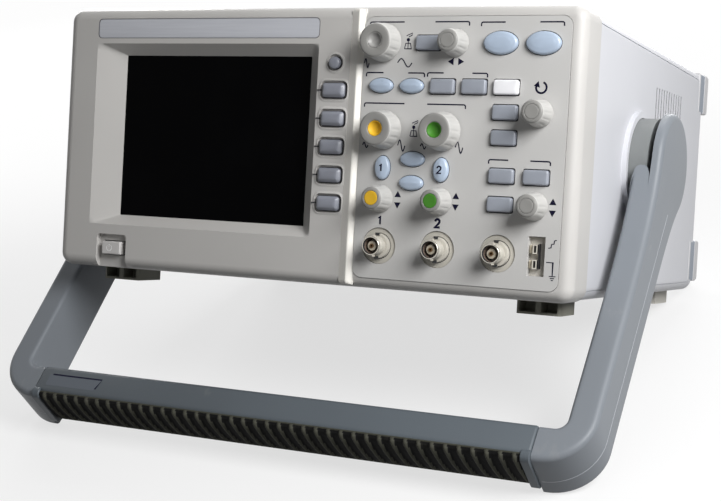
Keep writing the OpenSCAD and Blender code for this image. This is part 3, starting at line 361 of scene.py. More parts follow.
class Form:
    """Points and faces of one piece, gathered in a local frame in millimetres."""

    def __init__(self):
        self.points, self.faces, self.marks = [], [], []

    def add(self, points, faces, mark=0):
        """Takes in points and the faces on them; mark is the place of their finish in the piece's list."""
        base = len(self.points)
        self.points += [Vector(p) for p in points]
        self.faces += [tuple(base + i for i in face) for face in faces]
        self.marks += [mark] * len(faces)
        return self

    def join(self, other, shift):
        """Takes in a shifted copy of another form, with its marks."""
        self.add([p + Vector(shift) for p in other.points], other.faces)
        self.marks[-len(other.marks):] = other.marks

    def loft(self, rings, mark=0, start=True, end=True):
        """Skin over rings of equal count, with a flat face at each end that is asked for."""
        count = len(rings[0])
        points = [p for ring in rings for p in ring]
        faces = []
        for k in range(len(rings) - 1):
            for i in range(count):
                j = (i + 1) % count
                faces.append((k * count + i, k * count + j, (k + 1) * count + j, (k + 1) * count + i))
        if start:
            faces.append(tuple(reversed(range(count))))
        if end:
            faces.append(tuple((len(rings) - 1) * count + i for i in range(count)))
        return self.add(points, faces, mark)

    def slab(self, rings, paired):
        """Skin over rings that run up one edge and down the other, filled between paired points."""
        count = len(rings[0])
        points = [p for ring in rings for p in ring]
        faces = []
        for k in range(len(rings) - 1):
            low, high = k * count, (k + 1) * count
            faces += [(low + i, low + i + 1, high + i + 1, high + i) for i in range(count - 1)]
        for first in (0, (len(rings) - 1) * count):
            last = first + count - 1
            faces += [(first + i, first + i + 1, last - 1 - i, last - i) for i in range(paired - 1)]
            faces.append(tuple(range(first + paired - 1, first + count - paired + 1)))
        starts = [k * count for k in range(len(rings))]
        faces.append(tuple(starts + [k + count - 1 for k in reversed(starts)]))
        return self.add(points, faces)

    def box(self, low, high, mark=0):
        """Box between two corners."""
        (x0, y0, z0), (x1, y1, z1) = low, high
        return self.prism(((x0, y0), (x1, y0), (x1, y1), (x0, y1)), z0, z1, mark)

    def prism(self, outline, z0, z1, mark=0):
        """Upright prism on an outline, between two heights."""
        return self.loft([[(x, y, z) for x, y in outline] for z in (z0, z1)], mark)

    def lathe(self, profile, count=72, mark=0, wave=None, start=True, end=True):
        """Turned shape of (radius, height) pairs about local z; wave(angle, index) scales the radius."""
        rings = []
        for index, (radius, height) in enumerate(profile):
            ring = []
            for a in full_turn(count):
                r = radius * (wave(a, index) if wave else 1.0)
                ring.append((r * math.cos(a), r * math.sin(a), height))
            rings.append(ring)
        return self.loft(rings, mark, start, end)

    def ribbon(self, path, width, z0, z1, mark=0):
        """Flat stroke of even width along a line of (x, y) points."""
        left, right = [], []
        for i, (x, y) in enumerate(path):
            along = heading(path, i)
            half = width / 2
            if 0 < i < len(path) - 1:
                back = path[i - 1]
                turn = Vector((x - back[0], y - back[1])).normalized().dot(along)
                half /= max(turn, 0.5)
            left.append((x - along.y * half, y + along.x * half))
            right.append((x + along.y * half, y - along.x * half))
        count = len(path)
        points = [(x, y, z) for z in (z0, z1) for x, y in left + right]
        side = 2 * count
        faces = []
        for i in range(count - 1):
            faces.append((i, i + 1, count + i + 1, count + i))
            faces.append((side + i, side + count + i, side + count + i + 1, side + i + 1))
            faces.append((i, side + i, side + i + 1, i + 1))
            faces.append((count + i, count + i + 1, side + count + i + 1, side + count + i))
        faces.append((0, count, side + count, side))
        last = count - 1
        faces.append((last, side + last, side + count + last, count + last))
        return self.add(points, faces, mark)

    def piece(self, name, body, finishes, place, slot, replaces=(), crease=35):
        """Turns the form into a Blender object that rides on a body."""
        mesh = bpy.data.meshes.new(name)
        mesh.from_pydata([place @ p for p in self.points], [], self.faces)
        for finish in [finishes] if isinstance(finishes, str) else finishes:
            mesh.materials.append(FINISH[finish])
        mesh.polygons.foreach_set("material_index", self.marks)
        skin = bmesh.new()
        skin.from_mesh(mesh)
        bmesh.ops.remove_doubles(skin, verts=skin.verts, dist=MERGE)
        bmesh.ops.recalc_face_normals(skin, faces=skin.faces)
        skin.to_mesh(mesh)
        skin.free()
        mesh.shade_smooth()
        mesh.set_sharp_from_angle(angle=math.radians(crease))
        made = bpy.data.objects.new(name, mesh)
        bpy.context.scene.collection.objects.link(made)
        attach(made, body)
        if replaces:
            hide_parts(*replaces)


# Camera: its place in the level frame, its turn in degrees, and its focal length in pixels of the photograph
CAMERA_EYE = (369.96, -684.26, 41.66)
CAMERA_TURN = (88.3048, -3.1556, 25.9059)
FOCAL_PIXELS, PHOTO_PIXELS, SENSOR = 1474.66, 721, 36.0


def set_camera():
    """Camera at the photograph's viewing angle."""
    lens = bpy.data.cameras.new("camera")
    lens.sensor_width, lens.sensor_fit = SENSOR, "HORIZONTAL"
    lens.lens = FOCAL_PIXELS / PHOTO_PIXELS * SENSOR
    lens.clip_start, lens.clip_end = 0.05, 50
    turn = Euler([math.radians(angle) for angle in CAMERA_TURN]).to_matrix().to_4x4()
    eye = Matrix.Translation(STAND @ Vector(CAMERA_EYE))
    camera = bpy.data.objects.new("camera", lens)
    camera.matrix_world = eye @ Matrix.Rotation(-tilt, 4, "X") @ turn
    bpy.context.scene.collection.objects.link(camera)
    bpy.context.scene.camera = camera


# Stage, in metres: name, place, aim, size and power of each lamp
LAMPS = (
    ("key_light", (0.6, -0.34, 0.56), (0.03, -0.08, 0.11), 0.45, 7.45),
    ("rear_top_light", (0.0, 1.0, 1.3), (0.0, 0.05, 0.15), 0.8, 6.5),
    ("rear_low_light", (-0.2, 1.4, 0.3), (0.0, 0.1, 0.1), 0.6, 5.5),
    ("left_light", (-1.0, 0.9, 0.5), (-0.1, 0.0, 0.1), 0.6, 8.5),
)
WHITE = (1, 1, 1, 1)
FLOOR_HALF, FLOOR_SEEN, FLOOR_UNSEEN = 8, (0.85, 0.85, 0.85, 1), (0.2, 0.2, 0.2, 1)
GLOW_LEAST, GLOW_MORE, GLOW_START, GLOW_FULL = 0.7, 0.28, 0.25, 0.8
AIR_UNSEEN, AIR_SEEN = 0.07, 0.93


def set_stage():
    """Pale floor, a soft key light at the front right, three lights behind, and an even surround."""
    scene = bpy.context.scene
    scene.view_settings.view_transform = "Standard"
    floor = Paint("studio_floor")
    seen = floor.seen()
    paper = floor.node("BsdfDiffuse", None, {"Color": floor.blend(seen, FLOOR_UNSEEN, FLOOR_SEEN)})
    glow = floor.node("Emission", None, {"Color": WHITE, "Strength": 1.0})
    away = floor.node("VectorMath", {"operation": "LENGTH"}, {0: floor.place()}, out=1)
    share = GLOW_LEAST + away.between(GLOW_START, GLOW_FULL) * GLOW_MORE
    mixed = floor.node("MixShader", None, {0: seen * share, 1: paper, 2: glow})
    floor.node("OutputMaterial", None, {"Surface": mixed})
    corners = [(x * FLOOR_HALF, y * FLOOR_HALF, 0) for x, y in ((-1, -1), (1, -1), (1, 1), (-1, 1))]
    mesh = bpy.data.meshes.new("studio_floor")
    mesh.from_pydata(corners, [], [(0, 1, 2, 3)])
    mesh.materials.append(floor.material)
    ground = bpy.data.objects.new("studio_floor", mesh)
    scene.collection.objects.link(ground)
    scene.world = bpy.data.worlds.new("studio")
    air = Paint("studio", scene.world)
    light = air.node("Background", None, {"Color": WHITE, "Strength": AIR_UNSEEN + air.seen() * AIR_SEEN})
    air.node("OutputWorld", None, {"Surface": light})
    for name, where, aim, size, power in LAMPS:
        lamp = bpy.data.lights.new(name, "AREA")
        lamp.shape, lamp.size, lamp.energy = "DISK", size, power
        made = bpy.data.objects.new(name, lamp)
        made.location = where
        made.rotation_euler = (Vector(aim) - Vector(where)).to_track_quat("-Z", "Y").to_euler()
        scene.collection.objects.link(made)


# Finishes of the CAD nodes that stay
CAD_FINISH = {
    "front_bezel": "bezel", "control_panel": "panel", "display_window": "glass", "lcd_module": "lcd",
    "cabinet": "case", "rear_panel": "case", "key_board": "board", "encoder_bodies": "dark",
    "main_board": "board", "power_supply": "supply", "fan_frame": "dark", "fan_rotor": "dark",
    "mains_inlet": "dark", "bnc_insulators": "cream", "bnc_contacts": "gold", "feet": "foot",
    "handle_hubs": "hub", "screws": "steel", "horizontal_scale_shaft": "shaft",
    "ch1_scale_shaft": "shaft", "ch2_scale_shaft": "shaft",
}


def paint_cad():
    """Paints the CAD nodes that no finer piece stands in for."""
    for name, finish in CAD_FINISH.items():
        mesh = nodes[name].data
        mesh.materials.clear()
        mesh.materials.append(FINISH[finish])


# Digits: an outline, and a line to be drawn with an even stroke
DIGIT_ONE = (
    (-0.2, -2.2), (0.8, -2.2), (0.8, 2.2), (0.1, 2.2), (-0.25, 1.7), (-0.95, 1.35), (-0.95, 0.65),
    (-0.2, 0.9),
)
DIGIT_TWO = (
    (-1.3, 0.9), (-1.1, 1.6), (-0.4, 2.1), (0.4, 2.0), (1.0, 1.4), (1.0, 0.6), (0.5, -0.2), (-1.3, -2.0),
    (1.3, -2.0),
)

# Buttons: x and z on the panel, and the width and height of the oval ones
KEYS = {
    "main_delayed_button": (71.0, 126.0), "acquire_button": (80.0, 104.2), "display_button": (97.0, 104.2),
    "auto_scale_button": (114.0, 104.2), "save_recall_button": (114.0, 91.8), "utility_button": (114.0, 79.3),
    "force_button": (114.0, 60.5), "mode_coupling_button": (132.0, 60.5),
    "fifty_percent_button": (114.0, 46.5),
}
OVALS = {
    "run_stop_button": (109.8, 126.0, 18.2, 11.8), "single_button": (132.0, 126.0, 18.2, 11.8),
    "cursors_button": (46.0, 104.2, 13.4, 7.8), "measure_button": (63.0, 104.2, 13.4, 7.8),
    "ch1_button": (49.2, 62.3, 8.6, 12.5), "ch2_button": (81.6, 62.3, 8.6, 12.5),
    "math_button": (65.7, 67.2, 13.4, 7.8), "ref_button": (65.7, 55.1, 13.4, 7.8),
}
SOFTKEY_X, SOFTKEY_ROWS = 18.6, (101.4, 86.7, 72.0, 57.3, 42.6)
MENU_ROW, MENU_W = 115.6, 6.4
KEY_W, KEY_H, KEY_PROUD = 13.1, 7.4, 2.6
KEY_ROUND, SOFTKEY_ROUND, INNER_ROUND = 1.4, 1.7, 0.4
KEY_EDGE, KEY_CROWN = 1.0, 0.12
OVAL_EDGE, OVAL_CROWN, OVAL_SLACK = 1.6, 0.45, 0.2
# The skirt round each cap is dark as painted shade in the gap
STEM_BACK, SKIRT_TOP, SKIRT_OUT, OVAL_SKIRT_OUT = -8.2, 0.1, 0.45, 0.3

# Profiles of (inset, height) from inside the skirt to the face, and of (distance, height) over a frame
CAP_FOOT, CAP_STEPS = -0.4, 5
SOFTKEY_BEVEL = ((0.0, CAP_FOOT), (0.0, 0.9), (1.35, 2.3), (1.65, 2.42), (3.0, KEY_PROUD))
MENU_DOME = ((0.0, CAP_FOOT), (0.0, 1.4), (0.15, 1.9), (0.6, 2.3), (1.5, 2.5), (2.4, KEY_PROUD))
FRAME = ((2.7, -0.1), (2.7, 0.0), (2.2, 0.1), (1.7, 0.34), (1.45, 0.4), (1.3, 0.34), (1.25, -0.1))


def rounded_cap(edge, crown):
    """Profile of a cap with a rounded edge and a slightly crowned face."""
    line = [(0.0, CAP_FOOT), (0.0, KEY_PROUD - edge)]
    for a in quarter_turn(CAP_STEPS, 1):
        line.append((edge * (1 - math.cos(a)), KEY_PROUD - edge + edge * math.sin(a)))
    return line + [(edge + 1.0, KEY_PROUD + crown * 0.6), (edge + 2.0, KEY_PROUD + crown)]


def key_edge(r):
    """Function that gives the outline of a key at an inset."""
    return lambda inset: round_rect(KEY_W - 2 * inset, KEY_H - 2 * inset, r - min(inset, r - INNER_ROUND))


def oval_edge(w, h):
    """Function that gives the outline of an oval button at an inset."""
    return lambda inset: oval(w - 2 * inset, h - 2 * inset)


def make_cap(name, finish, slot, where, edge, profile, skirt_out=SKIRT_OUT):
    """A button: a dark skirt that fills its gap as painted shade, and a cap; edge(inset) gives the cap's
    outline.
    """
    form = Form()
    form.prism(edge(-skirt_out), STEM_BACK, SKIRT_TOP, 1)
    form.loft([[(px, py, height) for px, py in edge(inset)] for inset, height in profile])
    form.piece(name + "_cap", name, (finish, "groove"), on_panel(*where), slot, (name,))


def make_keys():
    """The keys, the oval buttons, the softkeys and the round button above them."""
    for name, where in KEYS.items():
        finish, slot = ("white_key", "auto_white") if name == "auto_scale_button" else ("key", "key_grey")
        make_cap(name, finish, slot, where, key_edge(KEY_ROUND), rounded_cap(KEY_EDGE, KEY_CROWN))
    for name, (x, z, w, h) in OVALS.items():
        edge = oval_edge(w - OVAL_SLACK, h - OVAL_SLACK)
        make_cap(name, "oval", "oval_blue", (x, z), edge, rounded_cap(OVAL_EDGE, OVAL_CROWN), OVAL_SKIRT_OUT)
    for i, z in enumerate(SOFTKEY_ROWS):
        name = f"softkey_{i + 1}"
        make_cap(name, "softkey", "softkey_grey", (SOFTKEY_X, z), key_edge(SOFTKEY_ROUND), SOFTKEY_BEVEL)
    where, edge = (SOFTKEY_X, MENU_ROW), oval_edge(MENU_W, MENU_W)
    make_cap("menu_button", "softkey", "key_grey", where, edge, MENU_DOME, OVAL_SKIRT_OUT)


# Power button: its cap sits a little to the right of its middle, its sign to the left
POWER_PLACE, POWER_SHIFT = (-116.7, 11.0), 0.2
POWER_W, POWER_H, POWER_ROUND, POWER_INNER_ROUND = 12.4, 7.4, 0.8, 0.3
# The skirt is dark as painted shade in the opening round the cap
POWER_SKIRT, POWER_BACK, POWER_SKIRT_TOP = (14.2, 7.8, 0.3), -14.0, -4.3
POWER_EDGE = ((0.0, POWER_BACK), (0.0, -0.3), (0.15, 0.05), (0.5, 0.4), (1.6, 0.45))
SIGN_PLACE, SIGN_R, SIGN_W, SIGN_LOW, SIGN_HIGH = (-117.6, 11.0), 1.7, 0.42, 0.35, 0.52
SIGN_START, SIGN_TURN, SIGN_STEPS = 35, 290, 20
SIGN_BAR = ((0.0, 0.3), (0.0, 2.1))


def make_power_button():
    """The power button: a dark skirt deep in its opening, painted as the shade there, a flat cap, and a power
    sign on it.
    """
    form = Form()
    form.prism(round_rect(*POWER_SKIRT), POWER_BACK, POWER_SKIRT_TOP, 1)
    rings = []
    for inset, height in POWER_EDGE:
        r = POWER_ROUND - min(inset, POWER_ROUND - POWER_INNER_ROUND)
        line = round_rect(POWER_W - 2 * inset, POWER_H - 2 * inset, r)
        rings.append([(px + POWER_SHIFT, py, height) for px, py in line])
    form.loft(rings)
    place = on_panel(*POWER_PLACE)
    form.piece("power_button_cap", "power_button", ("power", "groove"), place, "key_grey", ("power_button",))
    sign = Form()
    turns = [math.radians(SIGN_START + SIGN_TURN * i / SIGN_STEPS) for i in range(SIGN_STEPS + 1)]
    for line in ([(SIGN_R * math.sin(a), SIGN_R * math.cos(a)) for a in turns], SIGN_BAR):
        sign.ribbon(line, SIGN_W, SIGN_LOW, SIGN_HIGH)
    sign.piece("power_button_sign", "power_button", "pale_ink", on_panel(*SIGN_PLACE), "auto_white")


KEY_DIGIT_SCALE, KEY_DIGIT_W, KEY_DIGIT_PROUD = 0.85, 0.75, 0.08


def make_button_digits():
    """The digits 1 and 2 on the two channel buttons."""
    base, top = KEY_PROUD, KEY_PROUD + OVAL_CROWN + KEY_DIGIT_PROUD
    for name, digit in (("ch1_button", DIGIT_ONE), ("ch2_button", DIGIT_TWO)):
        x, z = OVALS[name][:2]
        line = [(px * KEY_DIGIT_SCALE, py * KEY_DIGIT_SCALE) for px, py in digit]
        form = Form()
        if digit is DIGIT_ONE:
            form.prism(line, base, top)
        else:
            form.ribbon(line, KEY_DIGIT_W, base, top)
        form.piece(name + "_digit", name, "ink", on_panel(x, z), "panel_grey")


# Knobs: x and z on the panel, and the finish of the insert
BIG_KNOBS = {
    "horizontal_scale": (46.5, 126.0, "dish"), "ch1_scale": (49.2, 81.6, "yellow"),
    "ch2_scale": (81.6, 81.6, "green"),
}
SMALL_KNOBS = {
    "horizontal_position": (86.0, 126.0, "knob_face"), "entry": (132.0, 91.8, "knob_face"),
    "ch1_position": (49.2, 46.5, "yellow"), "ch2_position": (81.6, 46.5, "green"),
    "trigger_level": (132.0, 46.5, "knob_face"),
}

# Profiles of (radius, height): a side that starts inside at the shaft, a face, and an insert in the face
BIG_SIDE = (
    (0.3, 9.3), (3.05, 9.3), (3.05, 1.6), (9.4, 1.6), (9.9, 2.0), (9.9, 3.2), (9.7, 4.2), (9.45, 6.0),
    (9.25, 8.2), (9.0, 10.6), (8.75, 11.9), (8.4, 12.55),
)
BIG_FACE = ((8.4, 12.55), (7.9, 12.92), (7.4, 13.0), (4.5, 13.0), (4.15, 12.88), (3.95, 12.55), (3.9, 10.4))
BIG_CUP = (
    (3.85, 10.6), (3.85, 12.7), (3.65, 12.72), (3.35, 12.4), (2.85, 11.75), (2.1, 11.2), (1.1, 10.95),
    (0.4, 10.9),
)
SMALL_SIDE = (
    (3.0, -8.3), (3.0, 0.8), (6.6, 0.8), (7.0, 1.2), (7.0, 2.4), (6.8, 3.6), (6.55, 5.4), (6.3, 7.8),
    (6.05, 10.4), (5.85, 11.5), (5.55, 12.2),
)
SMALL_FACE = ((5.55, 12.2), (5.1, 12.68), (4.5, 12.9), (3.9, 12.95), (3.7, 12.8), (3.65, 12.2))
SMALL_CAP = ((3.6, 12.3), (3.6, 12.95), (3.45, 13.05), (3.1, 13.08), (1.8, 13.0), (0.5, 12.97))
BIG_SIDES, SMALL_SIDES, INSERT_SIDES = 112, 96, 64


def fluted(count, depth, low, high):
    """Finger flutes cut into the part of a knob's side between two profile points."""
    def wave(angle, index):
        if not low <= index <= high:
            return 1.0
        return 1.0 - depth * max(0.0, math.cos(angle * count)) ** 2
    return wave


BIG_FLUTES = fluted(14, 0.035, 6, 9)
SMALL_FLUTES = fluted(12, 0.045, 5, 8)


def make_knob(body, place, sides, side, flutes, face):
    """The shell of a knob: a fluted side and a smooth face, the face painted darker as shade."""
    form = Form()
    form.lathe(side, sides, 0, flutes, end=False)
    form.lathe(face, sides, 1, start=False)
    form.piece(body + "_shell", body, ("knob", "knob_face"), place, "knob_grey", (body,), crease=40)


def make_insert(name, body, place, profile, finish):
    """The cup or cap that sits in a knob's face."""
    form = Form()
    form.lathe(profile, INSERT_SIDES)
    form.piece(name, body, finish, place, "knob_grey", crease=50)


def make_knobs():
    """The three scale knobs with a cup in the face, and the five small ones with a cap."""
    for name, (x, z, finish) in BIG_KNOBS.items():
        body = name + "_knob"
        make_knob(body, on_panel(x, z), BIG_SIDES, BIG_SIDE, BIG_FLUTES, BIG_FACE)
        make_insert(body + "_cup", body, on_panel(x, z), BIG_CUP, finish)
    for name, (x, z, finish) in SMALL_KNOBS.items():
        body = name + "_knob"
        make_knob(body, on_panel(x, z), SMALL_SIDES, SMALL_SIDE, SMALL_FLUTES, SMALL_FACE)
        make_insert(body + "_cap", body, on_panel(x, z), SMALL_CAP, finish)


# Coaxial sockets: finish, closed start, closed end, and the (radius, height) profile of each turned part
COAX_PLACES, COAX_ROW, COAX_SIDES = (49.2, 81.6, 113.9), 22.3, 96
COAX_FINISHES = ("nickel", "flange", "lip", "dark")
# The dark rings at the collar's foot and on both sides of the bright lip are painted shade
COAX_TURNED = (
    ("flange", True, True, ((5.2, -0.8), (9.2, -0.8), (9.2, -0.5), (8.9, -0.35), (5.6, -0.35), (5.4, -0.6))),
    ("dark", True, True, ((6.3, -0.5), (6.75, -0.5), (6.75, -0.3), (6.3, -0.3))),
    ("flange", True, True, ((6.4, -0.5), (6.4, 1.8), (6.3, 2.1), (6.0, 2.25), (4.7, 2.25))),
    ("flange", True, False, ((4.75, -0.6), (4.75, 6.6), (4.55, 6.8), (4.55, 7.2), (4.75, 7.4), (4.8, 9.4))),
    ("dark", False, False, ((4.8, 9.4), (4.76, 9.75))),
    ("nickel", False, False, ((4.76, 9.75), (4.68, 9.9), (4.5, 10.0), (4.3, 9.97))),
    ("dark", False, False, ((4.3, 9.97), (4.1, 9.6), (3.95, 8.6))),
    ("lip", False, True, ((3.95, 8.6), (3.95, 2.0))),
)
LUG_R, LUG_HEIGHT, LUG_REACH, LUG_SIDES = 0.95, 5.6, (4.5, 5.35, 5.5), 20
# Dark blocks beside the lugs are painted shade
NOTCH_HALF, NOTCH_IN, NOTCH_OUT, NOTCH_LOW, NOTCH_HIGH = 1.2, 5.2, 6.7, 0.6, 2.35


def make_sockets():
    """Turned bayonet sockets: a satin disc and barrel with dark rings of painted shade at its joints and
    round the lip, two lugs with painted shade beside them, and a bright lip.
    """
    part = Form()
    dark = COAX_FINISHES.index("dark")
    for finish, start, end, profile in COAX_TURNED:
        part.lathe(profile, COAX_SIDES, COAX_FINISHES.index(finish), start=start, end=end)
    lug = [(LUG_R * math.cos(a), LUG_HEIGHT + LUG_R * math.sin(a)) for a in full_turn(LUG_SIDES)]
    for up in (1, -1):
        part.loft([[(px, up * reach, pz) for px, pz in lug] for reach in LUG_REACH])
        low, high = sorted((up * NOTCH_IN, up * NOTCH_OUT))
        part.box((-NOTCH_HALF, low, NOTCH_LOW), (NOTCH_HALF, high, NOTCH_HIGH), dark)
    form = Form()
    for x in COAX_PLACES:
        form.join(part, (x, COAX_ROW, 0))
    form.piece("bnc_shell_set", "case", COAX_FINISHES, on_panel(), "nickel", ("bnc_shells",), crease=40)


# Probe terminals: boxes of finish, low corner and high corner, about the pocket's middle or one terminal
PROBE_X, PROBE_ROWS, PROBE_BACK = 133.6, (18.3, 25.7), -6.8
PROBE_FINISHES = ("nickel", "cream", "dark", "pocket")
POCKET_BOXES = (
    ("pocket", (-4.3, -9.6, -6.95), (4.3, 9.6, -3.6)),
    ("pocket", (-4.3, -9.6, PROBE_BACK), (-4.0, 9.6, 0.2)),
    ("dark", (1.3, -5.9, PROBE_BACK), (1.7, 6.3, -0.6)),
)
TERMINAL_BOXES = (
    ("cream", (-3.4, -1.9, PROBE_BACK), (-1.5, 1.9, -1.2)),
    ("nickel", (-1.2, -2.3, PROBE_BACK), (1.2, -1.7, 0.6)),
    ("nickel", (-1.2, 1.7, PROBE_BACK), (1.2, 2.3, 0.6)),
    ("nickel", (-1.2, -1.7, 0.0), (-0.6, 1.7, 0.6)),
    ("nickel", (0.6, -1.7, 0.0), (1.2, 1.7, 0.6)),
    # A dark fill inside each loop, painted as the shade in its opening
    ("dark", (-0.5, -1.6, PROBE_BACK), (0.5, 1.6, -1.0)),
)


def make_probe_loops():
    """A pale pocket with two cream blocks and two bent metal loops whose openings are filled dark as painted
    shade, joined by a thin dark strip.
    """
    form = Form()
    middle = sum(PROBE_ROWS) / 2
    groups = [(middle, POCKET_BOXES)] + [(z, TERMINAL_BOXES) for z in PROBE_ROWS]
    for z, boxes in groups:
        at = Vector((PROBE_X, z, 0))
        for finish, low, high in boxes:
            form.box(at + Vector(low), at + Vector(high), PROBE_FINISHES.index(finish))
    form.piece("probe_terminal_loops", "case", PROBE_FINISHES, on_panel(), "nickel", ("probe_terminals",))


# Printed lines and signs on the control panel
INK_LOW, INK_HIGH = PANEL_FACE - 0.05, PANEL_FACE + 0.06
BRACKET_W, BRACKET_DROP, BRACKET_R, BRACKET_STEPS = 0.68, 2.0, 0.9, 5
SINE_W, SINE_STEPS = 0.58, 24
ARROW, SIDE_ARROW_ROW, ARROW_GAP = 2.1, 116.7, 4.8
UP, DOWN, LEFT, RIGHT = math.pi / 2, -math.pi / 2, math.pi, 0.0
TURN_X, TURN_Z, TURN_R, TURN_W = 131.9, 104.4, 2.7, 1.0
TURN_START, TURN_LENGTH, TURN_STEPS = 70, 290, 28
TURN_ARROW, TURN_HEADING, TURN_TIP_X, TURN_TIP_Z = 1.9, math.radians(75), -2.079, 1.3
DIGIT_ONE_X, DIGIT_TWO_X, DIGIT_ROW, DIGIT_W = 49.1, 81.3, 35.5, 1.2
STEP_W, GROUND_W, GROUND_X, GROUND_TOP, GROUND_PITCH = 0.46, 0.44, 143.0, 13.0, 0.95

# Brackets: left end, right end, height, and the two ends beside the gap
BRACKETS = (
    (37.8, 92.5, 136.6, 57.0, 74.0), (98.9, 141.8, 136.3, 111.5, 129.5), (37.1, 69.6, 110.8, 46.7, 60.5),
    (71.3, 103.6, 111.0, 80.0, 95.5), (36.9, 92.8, 95.2, 59.4, 72.0), (106.8, 138.8, 68.5, 117.0, 128.5),
)

# Sines: x and z of the middle, width and height
SINES = (
    (36.9, 115.6, 2.6, 4.6), (58.3, 115.9, 8.0, 4.2), (38.6, 73.6, 3.0, 2.6), (58.9, 73.9, 4.0, 5.6),
    (71.0, 73.9, 3.0, 2.6), (90.6, 73.9, 4.0, 5.6),
)

# Arrows to the sides and in pairs of up and down; signs with a dot and lines beside two scale knobs
SIDE_ARROWS = ((84.0, LEFT), (88.6, RIGHT))
ARROW_PAIRS = ((58.5, 48.7), (90.4, 49.2), (141.2, 48.7))
PUSH_SIGNS = ((59.6, 126.0), (65.3, 81.8))
PUSH_DOT_R, PUSH_DOT_UP, PUSH_DOT_SIDES = 0.9, 1.6, 16
PUSH_LINES = (
    (0.42, ((-1.1, 3.6), (2.2, 5.0), (2.0, 3.9), (0.2, 3.0))),
    (0.42, ((-1.9, -3.0), (-1.3, -0.2), (1.3, -0.2), (1.9, -3.0), (-1.9, -3.0))),
    (0.4, ((0.0, -2.9), (0.0, 0.8))),
)

# Square steps and a ground sign beside the probe terminals
STEPS_LINE = ((140.2, 26.6), (141.6, 26.9), (141.8, 28.6), (143.0, 28.8), (143.2, 30.4), (144.3, 30.6))
GROUND_LINE = ((139.6, 19.7), (GROUND_X, 19.7), (GROUND_X, 13.2))
GROUND_BARS = (3.4, 2.2, 1.1)


def moved(line, x, z):
    """A line of points, shifted."""
    return [(x + px, z + py) for px, py in line]


def make_print():
    """All printed lines and signs of the control panel, as one thin raised piece."""
    form = Form()

    def stroke(points, width):
        form.ribbon(points, width, INK_LOW, INK_HIGH)

    def triangle(x, z, size, towards):
        turns = [towards + a for a in full_turn(3)]
        form.prism([(x + size * math.cos(a), z + size * math.sin(a)) for a in turns], INK_LOW, INK_HIGH)

    for x0, x1, z, gap0, gap1 in BRACKETS:
        for near, far, turn in ((x0, gap0, 1), (x1, gap1, -1)):
            low = z - BRACKET_R
            line = [(near, z - BRACKET_DROP), (near, low)]
            for a in quarter_turn(BRACKET_STEPS, 1):
                line.append((near + turn * BRACKET_R * (1 - math.cos(a)), low + BRACKET_R * math.sin(a)))
            stroke(line + [(far, z)], BRACKET_W)
    for x, z, w, h in SINES:
        shares = [i / SINE_STEPS for i in range(SINE_STEPS + 1)]
        stroke([(x - w / 2 + w * t, z + h / 2 * math.sin(2 * math.pi * t)) for t in shares], SINE_W)
    for x, towards in SIDE_ARROWS:
        triangle(x, SIDE_ARROW_ROW, ARROW, towards)
    for x, z in ARROW_PAIRS:
        triangle(x, z, ARROW, UP)
        triangle(x, z - ARROW_GAP, ARROW, DOWN)
    turns = [math.radians(TURN_START - TURN_LENGTH * i / TURN_STEPS) for i in range(TURN_STEPS + 1)]
    stroke([(TURN_X + TURN_R * math.cos(a), TURN_Z + TURN_R * math.sin(a)) for a in turns], TURN_W)
    triangle(TURN_X + TURN_TIP_X, TURN_Z + TURN_TIP_Z, TURN_ARROW, TURN_HEADING)
    form.prism(moved(DIGIT_ONE, DIGIT_ONE_X, DIGIT_ROW), INK_LOW, INK_HIGH)
    stroke(moved(DIGIT_TWO, DIGIT_TWO_X, DIGIT_ROW), DIGIT_W)
    for x, z in PUSH_SIGNS:
        dot = oval(2 * PUSH_DOT_R, 2 * PUSH_DOT_R, PUSH_DOT_SIDES)
        form.prism(moved(dot, x, z + PUSH_DOT_UP), INK_LOW, INK_HIGH)
        for width, line in PUSH_LINES:
            stroke(moved(line, x, z), width)
    stroke(STEPS_LINE, STEP_W)
    stroke(GROUND_LINE, STEP_W)
    for k, w in enumerate(GROUND_BARS):
        stroke([(GROUND_X + half, GROUND_TOP - k * GROUND_PITCH) for half in (-w / 2, w / 2)], GROUND_W)
    form.piece("panel_print", "case", "ink", on_panel(), "panel_grey")


# Name plate: its edges, and its (inset, height) profile
PLATE_LEFT, PLATE_RIGHT, PLATE_LOW, PLATE_HIGH = -132.0, 8.2, 128.7, 139.1
PLATE_ROUND, PLATE_EDGE = 2.3, ((0, -0.5), (0, -0.2), (0.15, -0.08), (0.3, -0.05))
# The border is painted as the shade round the plate's edge
BORDER_W, BORDER_ROUND, BORDER_LOW, BORDER_HIGH = 0.25, 2.5, -0.4, 0.04


def ring_faces(count):
    """Faces of a flat ring: its points come as lower outer and inner, then upper outer and inner lines."""
    faces = []
    for i in range(count):
        j = (i + 1) % count
        corners = [(line * count + i, line * count + j) for line in (0, 1, 3, 2)]
        faces += [(a[0], a[1], b[1], b[0]) for a, b in zip(corners, corners[1:] + corners[:1])]
    return faces


def make_name_plate():
    """A plain plate above the screen, in a thin darker border painted as the shade at its edge."""
    w, h = PLATE_RIGHT - PLATE_LEFT, PLATE_HIGH - PLATE_LOW
    place = on_panel((PLATE_LEFT + PLATE_RIGHT) / 2, (PLATE_LOW + PLATE_HIGH) / 2)
    plate = Form()
    rings = []
    for inset, height in PLATE_EDGE:
        line = round_rect(w - 2 * inset, h - 2 * inset, PLATE_ROUND - inset)
        rings.append([(px, py, height) for px, py in line])
    plate.loft(rings)
    plate.piece("name_plate", "case", "plate", place, "bezel_grey")
    border = Form()
    lines = (round_rect(w + 2 * BORDER_W, h + 2 * BORDER_W, BORDER_ROUND), round_rect(w, h, PLATE_ROUND))
    points = [(px, py, height) for height in (BORDER_LOW, BORDER_HIGH) for line in lines for px, py in line]
    border.add(points, ring_faces(len(lines[0])))
    border.piece("name_plate_border", "case", "border", place, "bezel_grey")


